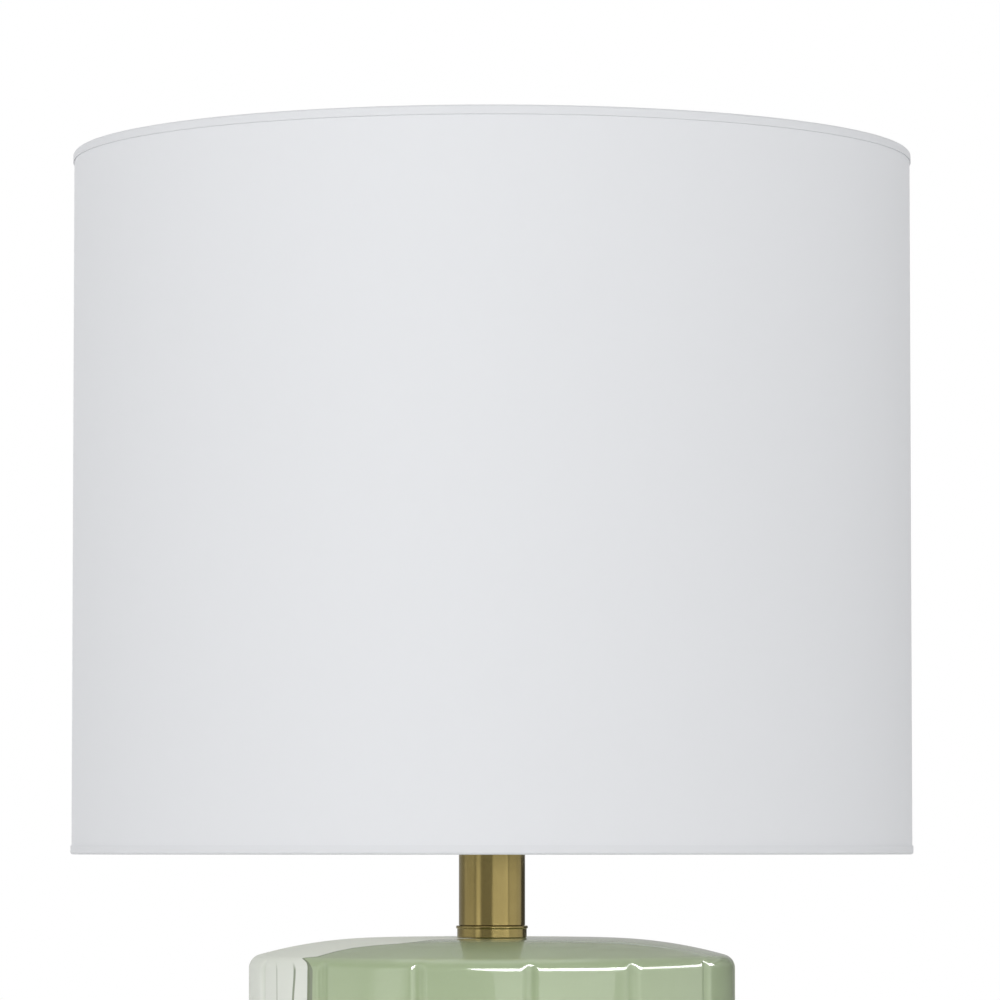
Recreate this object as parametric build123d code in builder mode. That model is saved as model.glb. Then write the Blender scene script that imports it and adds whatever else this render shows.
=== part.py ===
from build123d import *
from math import asin, atan2, cos, degrees, radians, sin, sqrt
import os

os.makedirs("parts", exist_ok=True)

# A table lamp: a grooved ceramic jar, a brass neck, a turn-knob socket, a harp and a drum shade.
# Millimetres. +Z is up, and the origin is on the lamp's axis, at the surface that it stands on.
# The front of the lamp faces -Y, and the harp lies in the XZ plane.

# ---- clearances ----
SNUG = 0.05  # between pieces that are glued, pressed or screwed together
RUNNING = 0.08  # radial play of a piece that turns or slides on another
LOOSE = 0.3  # between pieces that only pass each other
PASSAGE = 0.4  # radial play of the rod in the plates and rings that it clamps

# ---- foot ----
FELT_INSET = 6.9  # from the jar's side to the edge of the felt
FELT_T = 2.0

# ---- jar ----
JAR_R = 87.9
JAR_H = 247.0  # from the foot to the crown
JAR_CROWN_R = 40.0  # the crown is level inside this radius
JAR_DOME_RADIUS = 165.0
JAR_SHOULDER_ROUND = 5.0
JAR_FOOT_ROUND = 4.0
JAR_WALL = 6.0
JAR_CAVITY_ROUND = 5.0
JAR_FLOOR_T = 6.0
JAR_FLOOR_RISE = 10.0  # the floor stands this high above the foot
JAR_FOOT_RING_W = 14.0
JAR_FLOOR_HOLE_R = 22.0
JAR_CROWN_HOLE_R = 6.5

GROOVE_COUNT = 14
GROOVE_W = 5.0
GROOVE_DEPTH = 1.1
GROOVE_EDGE_ROUND = 0.9
GROOVE_FIRST_DEG = -107.0  # the groove just left of the front

# ---- rod, and what it clamps at the bottom ----
ROD_R = 4.9
ROD_BORE_R = 3.4
ROD_BELOW_NUT = 0.8
PLATE_R = 36.0
PLATE_T = 1.5
PLATE_BOSS_R = 21.0
PLATE_BOSS_H = 3.0
WASHER_R = 12.0
WASHER_T = 1.5
NUT_FLATS = 14.3
NUT_H = 5.0

# ---- cord bushing, in the lower back wall ----
CORD_Z = 30.0
CORD_BORE_R = 3.8
BUSHING_R = 6.0
BUSHING_FLANGE_R = 8.5
BUSHING_FLANGE_T = 2.2
BUSHING_FLANGE_ROUND = 0.8
BUSHING_LIP_R = 7.0
BUSHING_LIP_T = 1.4

# ---- neck ----
SEAT_RING_R = 12.6
SEAT_RING_H = 4.4
SEAT_LIP_R = 13.0
SEAT_LIP_H = 1.1
NECK_R = 12.0
NECK_WALL = 1.2
NECK_H = 47.5
NECK_CAP_R = 13.0
NECK_CAP_T = 2.0
SPIGOT_H = 3.0  # what centres the neck tube on the ring and under the cap

# ---- harp saddle ----
SADDLE_HALF_SPAN = 35.0  # from the axis to the middle of each harp leg
SADDLE_W = 12.0
SADDLE_T = 1.5
SADDLE_HUB_R = 10.5
SADDLE_HUB_ROUND = 6.0
SADDLE_BEND_R = 2.0
SADDLE_TAPER_H = 2.3  # from the strap's full width to the ear's
EAR_W = 5.0
EAR_H = 16.0  # above the saddle's underside
LOCK_WASHER_R = 8.5
LOCK_WASHER_T = 1.2
LOCK_WASHER_SLIT = 1.0

# ---- socket ----
SOCKET_H = 60.0
SOCKET_NECK_R = 7.5
SOCKET_NECK_H = 7.0
SOCKET_FLARE_H = 8.0
SOCKET_FLARE_ROUND = 3.0
SOCKET_THREAD_H = 9.0
SOCKET_CAP_H = 23.0
SOCKET_CAP_WALL = 0.8
SHELL_R = 17.2
SHELL_WALL = 0.6
SHELL_OVERLAP = 6.0  # the shell stands this deep in the cap
SHELL_BEAD_R = 0.7
SLEEVE_T = 0.7
SLEEVE_INSET = 1.0  # from the sleeve's ends to the shell's
SET_SCREW_R = 1.5
SET_SCREW_HEAD_R = 2.6
SET_SCREW_HEAD_H = 1.8
SET_SCREW_RISE = 3.6
SWITCH_BODY_R = 14.6
SWITCH_BODY_RISE = 15.0  # its underside, above the socket's
SWITCH_BODY_H = 21.0
SWITCH_LIP_H = 3.0
TERMINAL_FLAT = 12.4  # from the axis to the flats that carry the terminal screws
TERMINAL_FLAT_H = 11.0
TERMINAL_HEAD_R = 2.6
TERMINAL_HEAD_H = 1.7
TERMINAL_SHANK_R = 1.3
TERMINAL_SHANK_L = 5.0
TERMINAL_ANGLES = (35.0, 145.0)
SCREW_SHELL_WALL = 0.5
SCREW_SHELL_H = 22.0
SCREW_SHELL_HOLE_R = 6.0
CONTACT_L = 9.4
CONTACT_W = 5.0
CONTACT_T = 0.4
CONTACT_RISE = 2.2

# ---- switch ----
KNOB_RISE = 28.0  # its axis, above the socket's underside
SWITCH_SHAFT_R = 1.9
SWITCH_SHAFT_DEPTH = 7.0  # into the switch body
SHELL_SLOT_R = 3.4
KNOB_R = 7.0
KNOB_L = 13.0
KNOB_ROUND = 1.2
KNOB_RIB_COUNT = 10
KNOB_RIB_R = 1.0
KNOB_STEM_R = 4.2
KNOB_STEM_L = 4.0
KNOB_STEM_GAP = 1.0  # from the shell to the knob's stem
KNOB_BORE_L = 9.0

# ---- bulb ----
BULB_R = 30.0
BULB_H = 108.0
BULB_NECK_R = 12.3
BULB_NECK_L = 8.0  # the straight part of the glass, which ends in the screw cap
BULB_NECK_DEPTH = 5.0  # into the screw cap
BULB_WALL = 1.0
BULB_CAP_R = 13.0
BULB_CAP_H = 20.0
BULB_CAP_LIP_H = 1.2
BULB_INSULATOR_H = 3.5
BULB_INSULATOR_R = 11.8
BULB_TIP_R = 4.5
BULB_TIP_H = 1.6

# ---- harp ----
HARP_H = 215.9  # from the saddle's underside to where the shade rests
HARP_WIRE_R = 2.0
HARP_HALF_W = 57.0
HARP_LEG_STRAIGHT = 31.0  # above the saddle, where the ferrules slide
HARP_FOOT_SWEEP = 130.0  # radius of the outward sweep above the straight legs
HARP_FOOT_GAP = 2.6  # below each leg's end, above the saddle
HARP_EYE_R = 7.0
FERRULE_R = 4.1
FERRULE_BEAD_R = 4.4
FERRULE_BEAD_H = 1.6
FERRULE_WALL = 0.6
FERRULE_CROWN_T = 2.5
FERRULE_GAP = 2.8  # below each ferrule, above the saddle

# ---- harp stud ----
REST_R = 11.0
REST_T = 1.6
STUD_R = 3.1
STUD_H = 12.5
STUD_POINT = 0.6
SHANK_R = 2.6
RIVET_R = 4.4
RIVET_T = 1.5
STUD_END_PLAY = 0.1

# ---- shade ----
SHADE_R = 152.4
SHADE_H = 254.0
SHADE_RECESS = 12.7  # from the top rim down to the spider's washer
HEM_T = 0.35
HEM_H = 3.2
HEM_TUCK_H = 4.6
HEM_TURN = 1.0  # the slope where the cloth turns in over the rim
CLOTH_T = 0.5
LINER_T = 0.8
RING_WIRE_R = 1.5
SPIDER_HUB_R = 12.7
SPIDER_HUB_T = 1.6
SPIDER_HOLE_R = 5.6
SPIDER_ARMS = 3
SPIDER_ARM_R = 1.4
SPIDER_ARM_BEND = 5.0
SPIDER_FIRST_DEG = 90.0

# ---- finial ----
FINIAL_BASE_R = 7.5
FINIAL_BASE_H = 3.0
FINIAL_WAIST_R = 4.4
FINIAL_WAIST_H = 3.2
FINIAL_BALL_R = 7.0
FINIAL_HOLE_DEPTH = 13.0

# ---- levels and radii that follow from the sizes above ----
FELT_R = JAR_R - FELT_INSET
FOOT_Z = FELT_T
CROWN_Z = FOOT_Z + JAR_H
FLOOR_Z = FOOT_Z + JAR_FLOOR_RISE
CAVITY_R = JAR_R - JAR_WALL
PLATE_SEAT_Z = FLOOR_Z + PLATE_BOSS_H - PLATE_T
NUT_Z = PLATE_SEAT_Z - WASHER_T - NUT_H
ROD_Z = NUT_Z - ROD_BELOW_NUT
NECK_Z = CROWN_Z + SEAT_RING_H
NECK_TOP_Z = NECK_Z + NECK_H
SADDLE_Z = NECK_TOP_Z + NECK_CAP_T
SADDLE_TOP_Z = SADDLE_Z + SADDLE_T
EAR_TOP_Z = SADDLE_Z + EAR_H
SOCKET_Z = SADDLE_TOP_Z + LOCK_WASHER_T
ROD_TOP_Z = SOCKET_Z + SOCKET_THREAD_H
SHELL_Z = SOCKET_Z + SOCKET_CAP_H - SHELL_OVERLAP
SHELL_TOP_Z = SOCKET_Z + SOCKET_H
SWITCH_Z = SOCKET_Z + SWITCH_BODY_RISE
SWITCH_TOP_Z = SWITCH_Z + SWITCH_BODY_H
KNOB_Z = SOCKET_Z + KNOB_RISE
BULB_Z = SWITCH_TOP_Z + CONTACT_RISE + LOOSE
BULB_CAP_Z = BULB_Z + BULB_TIP_H + BULB_INSULATOR_H
REST_Z = SADDLE_Z + HARP_H
HARP_TOP_Z = REST_Z - REST_T - STUD_END_PLAY
HUB_TOP_Z = REST_Z + SPIDER_HUB_T
SHADE_TOP_Z = HUB_TOP_Z + SHADE_RECESS
SHADE_Z = SHADE_TOP_Z - SHADE_H

ROD_HOLE_R = ROD_R + PASSAGE
ROD_THREAD_R = ROD_R + SNUG
NECK_BORE_R = NECK_R - NECK_WALL
SPIGOT_R = NECK_BORE_R - SNUG
SOCKET_CAP_R = SHELL_R + SNUG + SOCKET_CAP_WALL
SLEEVE_R = SHELL_R - SHELL_WALL - SNUG
SWITCH_LIP_R = SLEEVE_R - SLEEVE_T - SNUG
SCREW_SHELL_BORE_R = BULB_CAP_R + LOOSE
EAR_FACE_X = SADDLE_HALF_SPAN - SNUG
FERRULE_BORE_R = FERRULE_R - FERRULE_WALL
FERRULE_Z = SADDLE_TOP_Z + FERRULE_GAP
FERRULE_CROWN_Z = EAR_TOP_Z + LOOSE
CLOTH_R = SHADE_R - HEM_T - SNUG
LINER_R = CLOTH_R - CLOTH_T - SNUG
RING_R = LINER_R - LINER_T - SNUG - RING_WIRE_R
RING_INSET = HEM_T + SNUG + RING_WIRE_R  # from a rim of the shade to the middle of its ring
HEM_TUCK_R = RING_R - RING_WIRE_R - SNUG - HEM_T


def ring(bottom_z, height, outer_r, inner_r):
    """Adds a flat ring round the lamp's axis to the part that is being built."""
    with BuildSketch(Plane.XY.offset(bottom_z)) as plan:
        Circle(outer_r)
        Circle(inner_r, mode=Mode.SUBTRACT)
    extrude(plan.sketch, amount=height)


def turned(*points, axis_x=0.0):
    """Adds the solid that a closed outline of (radius, height) points makes, turned round an upright axis."""
    with BuildSketch(Plane((axis_x, 0, 0), x_dir=(1, 0, 0), z_dir=(0, -1, 0))) as outline:
        with BuildLine():
            Polyline(*points, close=True)
        make_face()
    revolve(outline.sketch, axis=Axis((axis_x, 0, 0), (0, 0, 1)))


def radial_plane(angle, height, reach=0.0):
    """A plane at this height that faces away from the lamp's axis in the direction of angle."""
    outward = Vector(cos(radians(angle)), sin(radians(angle)), 0)
    origin = outward * reach + Vector(0, 0, height)
    return Plane(origin=origin, x_dir=(-outward.Y, outward.X, 0), z_dir=outward)


def s_bend(width, height):
    """The turn in degrees, and the two radii added up, of an S that shifts an upright line sideways."""
    turn = 2 * atan2(width, height)
    return degrees(turn), height / sin(turn)


def save(piece, name):
    """Labels a finished piece and writes it as a file of its own."""
    piece.part.label = name
    export_step(piece.part, f"parts/{name}.step")


# ======================= foot and jar =======================

with BuildPart() as felt_pad:
    with BuildSketch():
        Circle(FELT_R)
    extrude(amount=FELT_T)
save(felt_pad, "felt_pad")

# The jar is turned to its outline, then cut to a grooved plan. The grooves are arcs across the wall,
# so each of them runs out by itself on the round of the shoulder, as it does under a glaze.
with BuildPart() as jar:
    with BuildSketch(Plane.XZ):
        with BuildLine():
            crown = Line((0, CROWN_Z), (JAR_CROWN_R, CROWN_Z))
            dome_turn = degrees(asin((JAR_R - JAR_CROWN_R) / JAR_DOME_RADIUS))
            dome = JernArc(crown @ 1, (1, 0), JAR_DOME_RADIUS, -dome_turn)
            side = Line(dome @ 1, (JAR_R, FOOT_Z))
            Polyline(side @ 1, (0, FOOT_Z), (0, CROWN_Z))
        make_face()
        foot_corner, shoulder_corner = vertices().group_by(Axis.X)[-1].sort_by(Axis.Y)
        fillet(shoulder_corner, JAR_SHOULDER_ROUND)
        fillet(foot_corner, JAR_FOOT_ROUND)
    revolve(axis=Axis.Z)

    groove_radius = (GROOVE_W**2 / 4 + GROOVE_DEPTH**2) / (2 * GROOVE_DEPTH)
    groove_middle_r = JAR_R + groove_radius - GROOVE_DEPTH
    with BuildSketch(Plane.XY.offset(FOOT_Z)):
        with Locations(Location((0, 0, 0), (0, 0, GROOVE_FIRST_DEG))):
            Circle(JAR_R)
        with PolarLocations(groove_middle_r, GROOVE_COUNT, start_angle=GROOVE_FIRST_DEG):
            Circle(groove_radius, mode=Mode.SUBTRACT)
        fillet(vertices(), GROOVE_EDGE_ROUND)
    extrude(amount=JAR_H, mode=Mode.INTERSECT)

    with BuildSketch(Plane.XZ):
        with BuildLine():
            dome_drop = CROWN_Z - (dome @ 1).Y
            Polyline(
                (0, FLOOR_Z + JAR_FLOOR_T),
                (CAVITY_R, FLOOR_Z + JAR_FLOOR_T),
                (CAVITY_R, CROWN_Z - dome_drop - JAR_WALL),
                (JAR_CROWN_R, CROWN_Z - JAR_WALL),
                (0, CROWN_Z - JAR_WALL),
                close=True,
            )
        make_face()
        fillet(vertices().group_by(Axis.X)[-1], JAR_CAVITY_ROUND)
    revolve(axis=Axis.Z, mode=Mode.SUBTRACT)

    with BuildSketch(Plane.XY.offset(FOOT_Z)):
        Circle(JAR_R - JAR_FOOT_RING_W)
    extrude(amount=JAR_FLOOR_RISE, mode=Mode.SUBTRACT)
    with BuildSketch(Plane.XY.offset(FLOOR_Z)):
        Circle(JAR_FLOOR_HOLE_R)
    extrude(amount=JAR_FLOOR_T, mode=Mode.SUBTRACT)
    with BuildSketch(Plane.XY.offset(CROWN_Z - JAR_WALL)):
        Circle(JAR_CROWN_HOLE_R)
    extrude(amount=JAR_WALL, mode=Mode.SUBTRACT)
    with BuildSketch(radial_plane(90, CORD_Z, CAVITY_R - JAR_WALL)):
        Circle(BUSHING_R + SNUG)
    extrude(amount=2 * JAR_WALL + BUSHING_FLANGE_T, mode=Mode.SUBTRACT)
save(jar, "jar")

# A snap bushing of moulded nylon, with a flange outside the wall and a lip inside it.
with BuildPart() as cord_bushing:
    lip_y = sqrt(CAVITY_R**2 - BUSHING_LIP_R**2) - SNUG
    flange_y = JAR_R + SNUG
    with BuildSketch(radial_plane(90, CORD_Z, lip_y - BUSHING_LIP_T)):
        Circle(BUSHING_LIP_R)
    extrude(amount=BUSHING_LIP_T)
    with BuildSketch(radial_plane(90, CORD_Z, lip_y - BUSHING_LIP_T)):
        Circle(BUSHING_R)
    extrude(amount=flange_y - lip_y + BUSHING_LIP_T)
    with BuildSketch(radial_plane(90, CORD_Z, flange_y)):
        Circle(BUSHING_FLANGE_R)
    extrude(amount=BUSHING_FLANGE_T)
    fillet(edges().group_by(Axis.Y)[-1], BUSHING_FLANGE_ROUND)
    with BuildSketch(radial_plane(90, CORD_Z, lip_y - BUSHING_LIP_T)):
        Circle(CORD_BORE_R)
    extrude(amount=flange_y - lip_y + BUSHING_LIP_T + BUSHING_FLANGE_T, mode=Mode.SUBTRACT)
save(cord_bushing, "cord_bushing")

# ======================= rod, and what it clamps at the bottom =======================

with BuildPart() as threaded_rod:
    ring(ROD_Z, ROD_TOP_Z - ROD_Z, ROD_R, ROD_BORE_R)
save(threaded_rod, "threaded_rod")

# A pressed steel disc, whose boss centres it in the hole of the jar's floor.
with BuildPart() as base_plate:
    turned(
        (ROD_HOLE_R, FLOOR_Z + PLATE_BOSS_H),
        (PLATE_BOSS_R - PLATE_BOSS_H, FLOOR_Z + PLATE_BOSS_H),
        (PLATE_BOSS_R, FLOOR_Z),
        (PLATE_R, FLOOR_Z),
        (PLATE_R, FLOOR_Z - PLATE_T),
        (PLATE_BOSS_R - PLATE_T, FLOOR_Z - PLATE_T),
        (PLATE_BOSS_R - PLATE_BOSS_H - PLATE_T, PLATE_SEAT_Z),
        (ROD_HOLE_R, PLATE_SEAT_Z),
    )
save(base_plate, "base_plate")

with BuildPart() as base_washer:
    ring(PLATE_SEAT_Z - WASHER_T, WASHER_T, WASHER_R, ROD_HOLE_R)
save(base_washer, "base_washer")

with BuildPart() as base_nut:
    with BuildSketch(Plane.XY.offset(NUT_Z)):
        RegularPolygon(radius=NUT_FLATS / 2, side_count=6, major_radius=False)
        Circle(ROD_THREAD_R, mode=Mode.SUBTRACT)
    extrude(amount=NUT_H)
save(base_nut, "base_nut")

# ======================= neck =======================

with BuildPart() as seat_ring:
    turned(
        (ROD_HOLE_R, CROWN_Z),
        (SEAT_RING_R, CROWN_Z),
        (SEAT_RING_R, NECK_Z - SEAT_LIP_H),
        (SEAT_LIP_R, NECK_Z - SEAT_LIP_H),
        (SEAT_LIP_R, NECK_Z),
        (SPIGOT_R, NECK_Z),
        (SPIGOT_R, NECK_Z + SPIGOT_H),
        (ROD_HOLE_R, NECK_Z + SPIGOT_H),
    )
    circles = edges().filter_by(GeomType.CIRCLE)
    fillet(circles.filter_by(lambda edge: abs(edge.radius - SEAT_LIP_R) < SNUG), SEAT_LIP_H / 4)
save(seat_ring, "seat_ring")

with BuildPart() as neck_tube:
    ring(NECK_Z, NECK_H, NECK_R, NECK_BORE_R)
save(neck_tube, "neck_tube")

with BuildPart() as neck_cap:
    turned(
        (ROD_HOLE_R, NECK_TOP_Z - SPIGOT_H),
        (SPIGOT_R, NECK_TOP_Z - SPIGOT_H),
        (SPIGOT_R, NECK_TOP_Z),
        (NECK_CAP_R, NECK_TOP_Z),
        (NECK_CAP_R, SADDLE_Z),
        (ROD_HOLE_R, SADDLE_Z),
    )
    fillet(edges().group_by(Axis.Z)[-1].sort_by(SortBy.LENGTH)[-1], NECK_CAP_T / 3)
save(neck_cap, "neck_cap")

# ======================= harp saddle =======================

# A strap bent up at both ends. The ears are narrower than the strap and round at the top.
with BuildPart() as harp_saddle:
    with BuildSketch(Plane.XZ):
        with Locations((0, SADDLE_Z)):
            Rectangle(2 * EAR_FACE_X, EAR_H, align=(Align.CENTER, Align.MIN))
        fillet(vertices().group_by(Axis.Y)[0], SADDLE_BEND_R + SADDLE_T)
    extrude(amount=SADDLE_HUB_R, both=True)
    with BuildSketch(Plane.XZ):
        with Locations((0, SADDLE_TOP_Z)):
            Rectangle(2 * (EAR_FACE_X - SADDLE_T), EAR_H, align=(Align.CENTER, Align.MIN))
        fillet(vertices().group_by(Axis.Y)[0], SADDLE_BEND_R)
    extrude(amount=SADDLE_HUB_R, both=True, mode=Mode.SUBTRACT)
    with BuildSketch(Plane.XY.offset(SADDLE_Z)):
        Rectangle(2 * SADDLE_HALF_SPAN, SADDLE_W)
        Circle(SADDLE_HUB_R)
        waist = vertices().filter_by(lambda v: abs(v.X) < SADDLE_HUB_R and abs(v.Y) < SADDLE_W / 2 + SNUG)
        fillet(waist, SADDLE_HUB_ROUND)
        Circle(ROD_HOLE_R, mode=Mode.SUBTRACT)
    extrude(amount=EAR_H, mode=Mode.INTERSECT)
    with BuildSketch(Plane.YZ):
        with BuildLine():
            shoulder_z = SADDLE_TOP_Z + SADDLE_TAPER_H
            round_z = EAR_TOP_Z - EAR_W / 2
            outline = Polyline(
                (0, SADDLE_Z),
                (SADDLE_HUB_R, SADDLE_Z),
                (SADDLE_HUB_R, SADDLE_TOP_Z),
                (SADDLE_W / 2, SADDLE_TOP_Z),
                (EAR_W / 2, shoulder_z),
                (EAR_W / 2, round_z),
            )
            RadiusArc(outline @ 1, (0, EAR_TOP_Z), -EAR_W / 2)
            mirror(about=Plane.YZ)
        make_face()
    extrude(amount=SADDLE_HALF_SPAN, both=True, mode=Mode.INTERSECT)
save(harp_saddle, "harp_saddle")

with BuildPart() as lock_washer:
    ring(SADDLE_TOP_Z, LOCK_WASHER_T, LOCK_WASHER_R, ROD_HOLE_R)
    with BuildSketch(Plane.XY.offset(SADDLE_TOP_Z)):
        Rectangle(LOCK_WASHER_R, LOCK_WASHER_SLIT, align=(Align.MIN, Align.CENTER))
    extrude(amount=LOCK_WASHER_T, mode=Mode.SUBTRACT)
save(lock_washer, "lock_washer")

# ======================= socket =======================

# The bell-shaped cap: a thin wall with a threaded boss inside its neck.
with BuildPart() as socket_cap:
    with BuildSketch(Plane.XZ):
        with BuildLine():
            Polyline(
                (0, SOCKET_Z),
                (SOCKET_NECK_R, SOCKET_Z),
                (SOCKET_NECK_R, SOCKET_Z + SOCKET_NECK_H),
                (SOCKET_CAP_R, SOCKET_Z + SOCKET_NECK_H + SOCKET_FLARE_H),
                (SOCKET_CAP_R, SOCKET_Z + SOCKET_CAP_H),
                (0, SOCKET_Z + SOCKET_CAP_H),
                close=True,
            )
        make_face()
        inner_levels = vertices().group_by(Axis.Y)[1:-1]
        fillet([vertex for level in inner_levels for vertex in level], SOCKET_FLARE_ROUND)
    revolve(axis=Axis.Z)
    offset(amount=-SOCKET_CAP_WALL, openings=faces().sort_by(Axis.Z)[-1])
    with BuildSketch(Plane.XY.offset(SOCKET_Z)):
        Circle(SOCKET_NECK_R - SOCKET_CAP_WALL / 2)
    extrude(amount=SOCKET_THREAD_H)
    with BuildSketch(Plane.XY.offset(SOCKET_Z)):
        Circle(ROD_THREAD_R)
    extrude(amount=SOCKET_THREAD_H, mode=Mode.SUBTRACT)
    with BuildSketch(radial_plane(0, SOCKET_Z + SET_SCREW_RISE)):
        Circle(SET_SCREW_R + SNUG)
    extrude(amount=SOCKET_NECK_R, mode=Mode.SUBTRACT)
save(socket_cap, "socket_cap")

with BuildPart() as set_screw:
    tip_x = ROD_R + SNUG
    with BuildSketch(radial_plane(0, SOCKET_Z + SET_SCREW_RISE, tip_x)):
        Circle(SET_SCREW_R)
    extrude(amount=SOCKET_NECK_R + SNUG - tip_x)
    with BuildSketch(radial_plane(0, SOCKET_Z + SET_SCREW_RISE, SOCKET_NECK_R + SNUG)):
        Circle(SET_SCREW_HEAD_R)
    extrude(amount=SET_SCREW_HEAD_H)
    fillet(edges().group_by(Axis.X)[-1], SET_SCREW_HEAD_H / 3)
save(set_screw, "set_screw")


def slotted_tube(bottom_z, top_z, outer_r, wall, slot_r):
    """Adds a tube with the slot that lets it slide down over the switch's shaft at the front."""
    ring(bottom_z, top_z - bottom_z, outer_r, outer_r - wall)
    with BuildSketch(radial_plane(-90, KNOB_Z)) as slot:
        Circle(slot_r)
        Rectangle(2 * slot_r, KNOB_Z - bottom_z, align=(Align.CENTER, Align.MAX))
    extrude(slot.sketch, amount=outer_r + wall, mode=Mode.SUBTRACT)


with BuildPart() as socket_shell:
    slotted_tube(SHELL_Z, SHELL_TOP_Z, SHELL_R, SHELL_WALL, SHELL_SLOT_R)
    with BuildSketch(Plane.XZ):
        with Locations((SHELL_R, SHELL_TOP_Z - SHELL_BEAD_R)):
            Circle(SHELL_BEAD_R)
        with Locations((SHELL_R - SHELL_WALL, SHELL_TOP_Z)):
            Rectangle(2 * SHELL_BEAD_R, 2 * SHELL_BEAD_R, align=(Align.MAX, Align.MAX), mode=Mode.SUBTRACT)
    revolve(axis=Axis.Z)
save(socket_shell, "socket_shell")

with BuildPart() as socket_sleeve:
    slotted_tube(SHELL_Z + SLEEVE_INSET, SHELL_TOP_Z - SLEEVE_INSET, SLEEVE_R, SLEEVE_T, SHELL_SLOT_R)
save(socket_sleeve, "socket_sleeve")

# The moulded switch body: a drum with a rim that fits the sleeve, and two flats for the terminal screws.
with BuildPart() as switch_body:
    with BuildSketch(Plane.XY.offset(SWITCH_Z)):
        Circle(SWITCH_BODY_R)
    extrude(amount=SWITCH_BODY_H)
    terminal_z = SWITCH_Z + TERMINAL_FLAT_H / 2
    terminal_end = TERMINAL_FLAT - TERMINAL_SHANK_L
    for angle in TERMINAL_ANGLES:
        with BuildSketch(radial_plane(angle, SWITCH_Z, TERMINAL_FLAT)):
            Rectangle(2 * SWITCH_BODY_R, TERMINAL_FLAT_H, align=(Align.CENTER, Align.MIN))
        extrude(amount=SWITCH_BODY_R, mode=Mode.SUBTRACT)
        with BuildSketch(radial_plane(angle, terminal_z, terminal_end)):
            Circle(TERMINAL_SHANK_R + SNUG)
        extrude(amount=TERMINAL_SHANK_L, mode=Mode.SUBTRACT)
    with BuildSketch(Plane.XY.offset(SWITCH_TOP_Z - SWITCH_LIP_H)):
        Circle(SWITCH_LIP_R)
    extrude(amount=SWITCH_LIP_H)
    shaft_end = SWITCH_BODY_R - SWITCH_SHAFT_DEPTH
    with BuildSketch(radial_plane(-90, KNOB_Z, shaft_end - LOOSE)):
        Circle(SWITCH_SHAFT_R + RUNNING)
    extrude(amount=SWITCH_BODY_R, mode=Mode.SUBTRACT)
save(switch_body, "switch_body")

with BuildPart() as terminal_screws:
    for angle in TERMINAL_ANGLES:
        with BuildSketch(radial_plane(angle, terminal_z, terminal_end + SNUG)):
            Circle(TERMINAL_SHANK_R)
        extrude(amount=TERMINAL_SHANK_L)
        with BuildSketch(radial_plane(angle, terminal_z, TERMINAL_FLAT + SNUG)):
            Circle(TERMINAL_HEAD_R)
        extrude(amount=TERMINAL_HEAD_H)
save(terminal_screws, "terminal_screws")

with BuildPart() as screw_shell:
    ring(SWITCH_TOP_Z, SCREW_SHELL_WALL, SCREW_SHELL_BORE_R, SCREW_SHELL_HOLE_R)
    ring(SWITCH_TOP_Z, SCREW_SHELL_H, SCREW_SHELL_BORE_R + SCREW_SHELL_WALL, SCREW_SHELL_BORE_R)
save(screw_shell, "screw_shell")

# An arched leaf of spring brass, which stands on the switch body in the hole of the screw shell's floor.
with BuildPart() as centre_contact:
    with BuildSketch(Plane.XZ):
        with BuildLine():
            reach = CONTACT_L / 2
            top = ThreePointArc(
                (-reach, SWITCH_TOP_Z + CONTACT_T),
                (0, SWITCH_TOP_Z + CONTACT_RISE),
                (reach, SWITCH_TOP_Z + CONTACT_T),
            )
            under = ThreePointArc(
                (-reach, SWITCH_TOP_Z),
                (0, SWITCH_TOP_Z + CONTACT_RISE - CONTACT_T),
                (reach, SWITCH_TOP_Z),
            )
            Line(top @ 0, under @ 0)
            Line(top @ 1, under @ 1)
        make_face()
    extrude(amount=CONTACT_W / 2, both=True)
save(centre_contact, "centre_contact")

# ======================= switch shaft and knob =======================

stem_y = SHELL_R + SHELL_BEAD_R + KNOB_STEM_GAP
knob_y = stem_y + KNOB_STEM_L

with BuildPart() as switch_shaft:
    with BuildSketch(radial_plane(-90, KNOB_Z, shaft_end)):
        Circle(SWITCH_SHAFT_R)
    extrude(amount=stem_y + KNOB_BORE_L - SNUG - shaft_end)
save(switch_shaft, "switch_shaft")

# A moulded knob with upright ribs for the fingers and a stem towards the socket.
with BuildPart() as switch_knob:
    with BuildSketch(radial_plane(-90, KNOB_Z, knob_y)):
        Circle(KNOB_R - KNOB_RIB_R)
    extrude(amount=KNOB_L)
    fillet(edges().group_by(Axis.Y)[0], KNOB_ROUND)
    with BuildSketch(radial_plane(-90, KNOB_Z, knob_y)):
        with PolarLocations(KNOB_R - KNOB_RIB_R, KNOB_RIB_COUNT):
            Circle(KNOB_RIB_R)
    extrude(amount=KNOB_L - KNOB_ROUND)
    with BuildSketch(radial_plane(-90, KNOB_Z, stem_y)):
        Circle(KNOB_STEM_R)
    extrude(amount=KNOB_STEM_L)
    with BuildSketch(radial_plane(-90, KNOB_Z, stem_y)):
        Circle(SWITCH_SHAFT_R + SNUG)
    extrude(amount=KNOB_BORE_L, mode=Mode.SUBTRACT)
save(switch_knob, "switch_knob")

# ======================= bulb =======================

# From the straight neck the glass swells in an S-bend to a ball.
bulb_neck_top_z = BULB_CAP_Z + BULB_CAP_H - BULB_NECK_DEPTH + BULB_NECK_L
bulb_middle_z = BULB_Z + BULB_H - BULB_R
bulb_turn, bulb_radii = s_bend(BULB_R - BULB_NECK_R, bulb_middle_z - bulb_neck_top_z)


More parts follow.
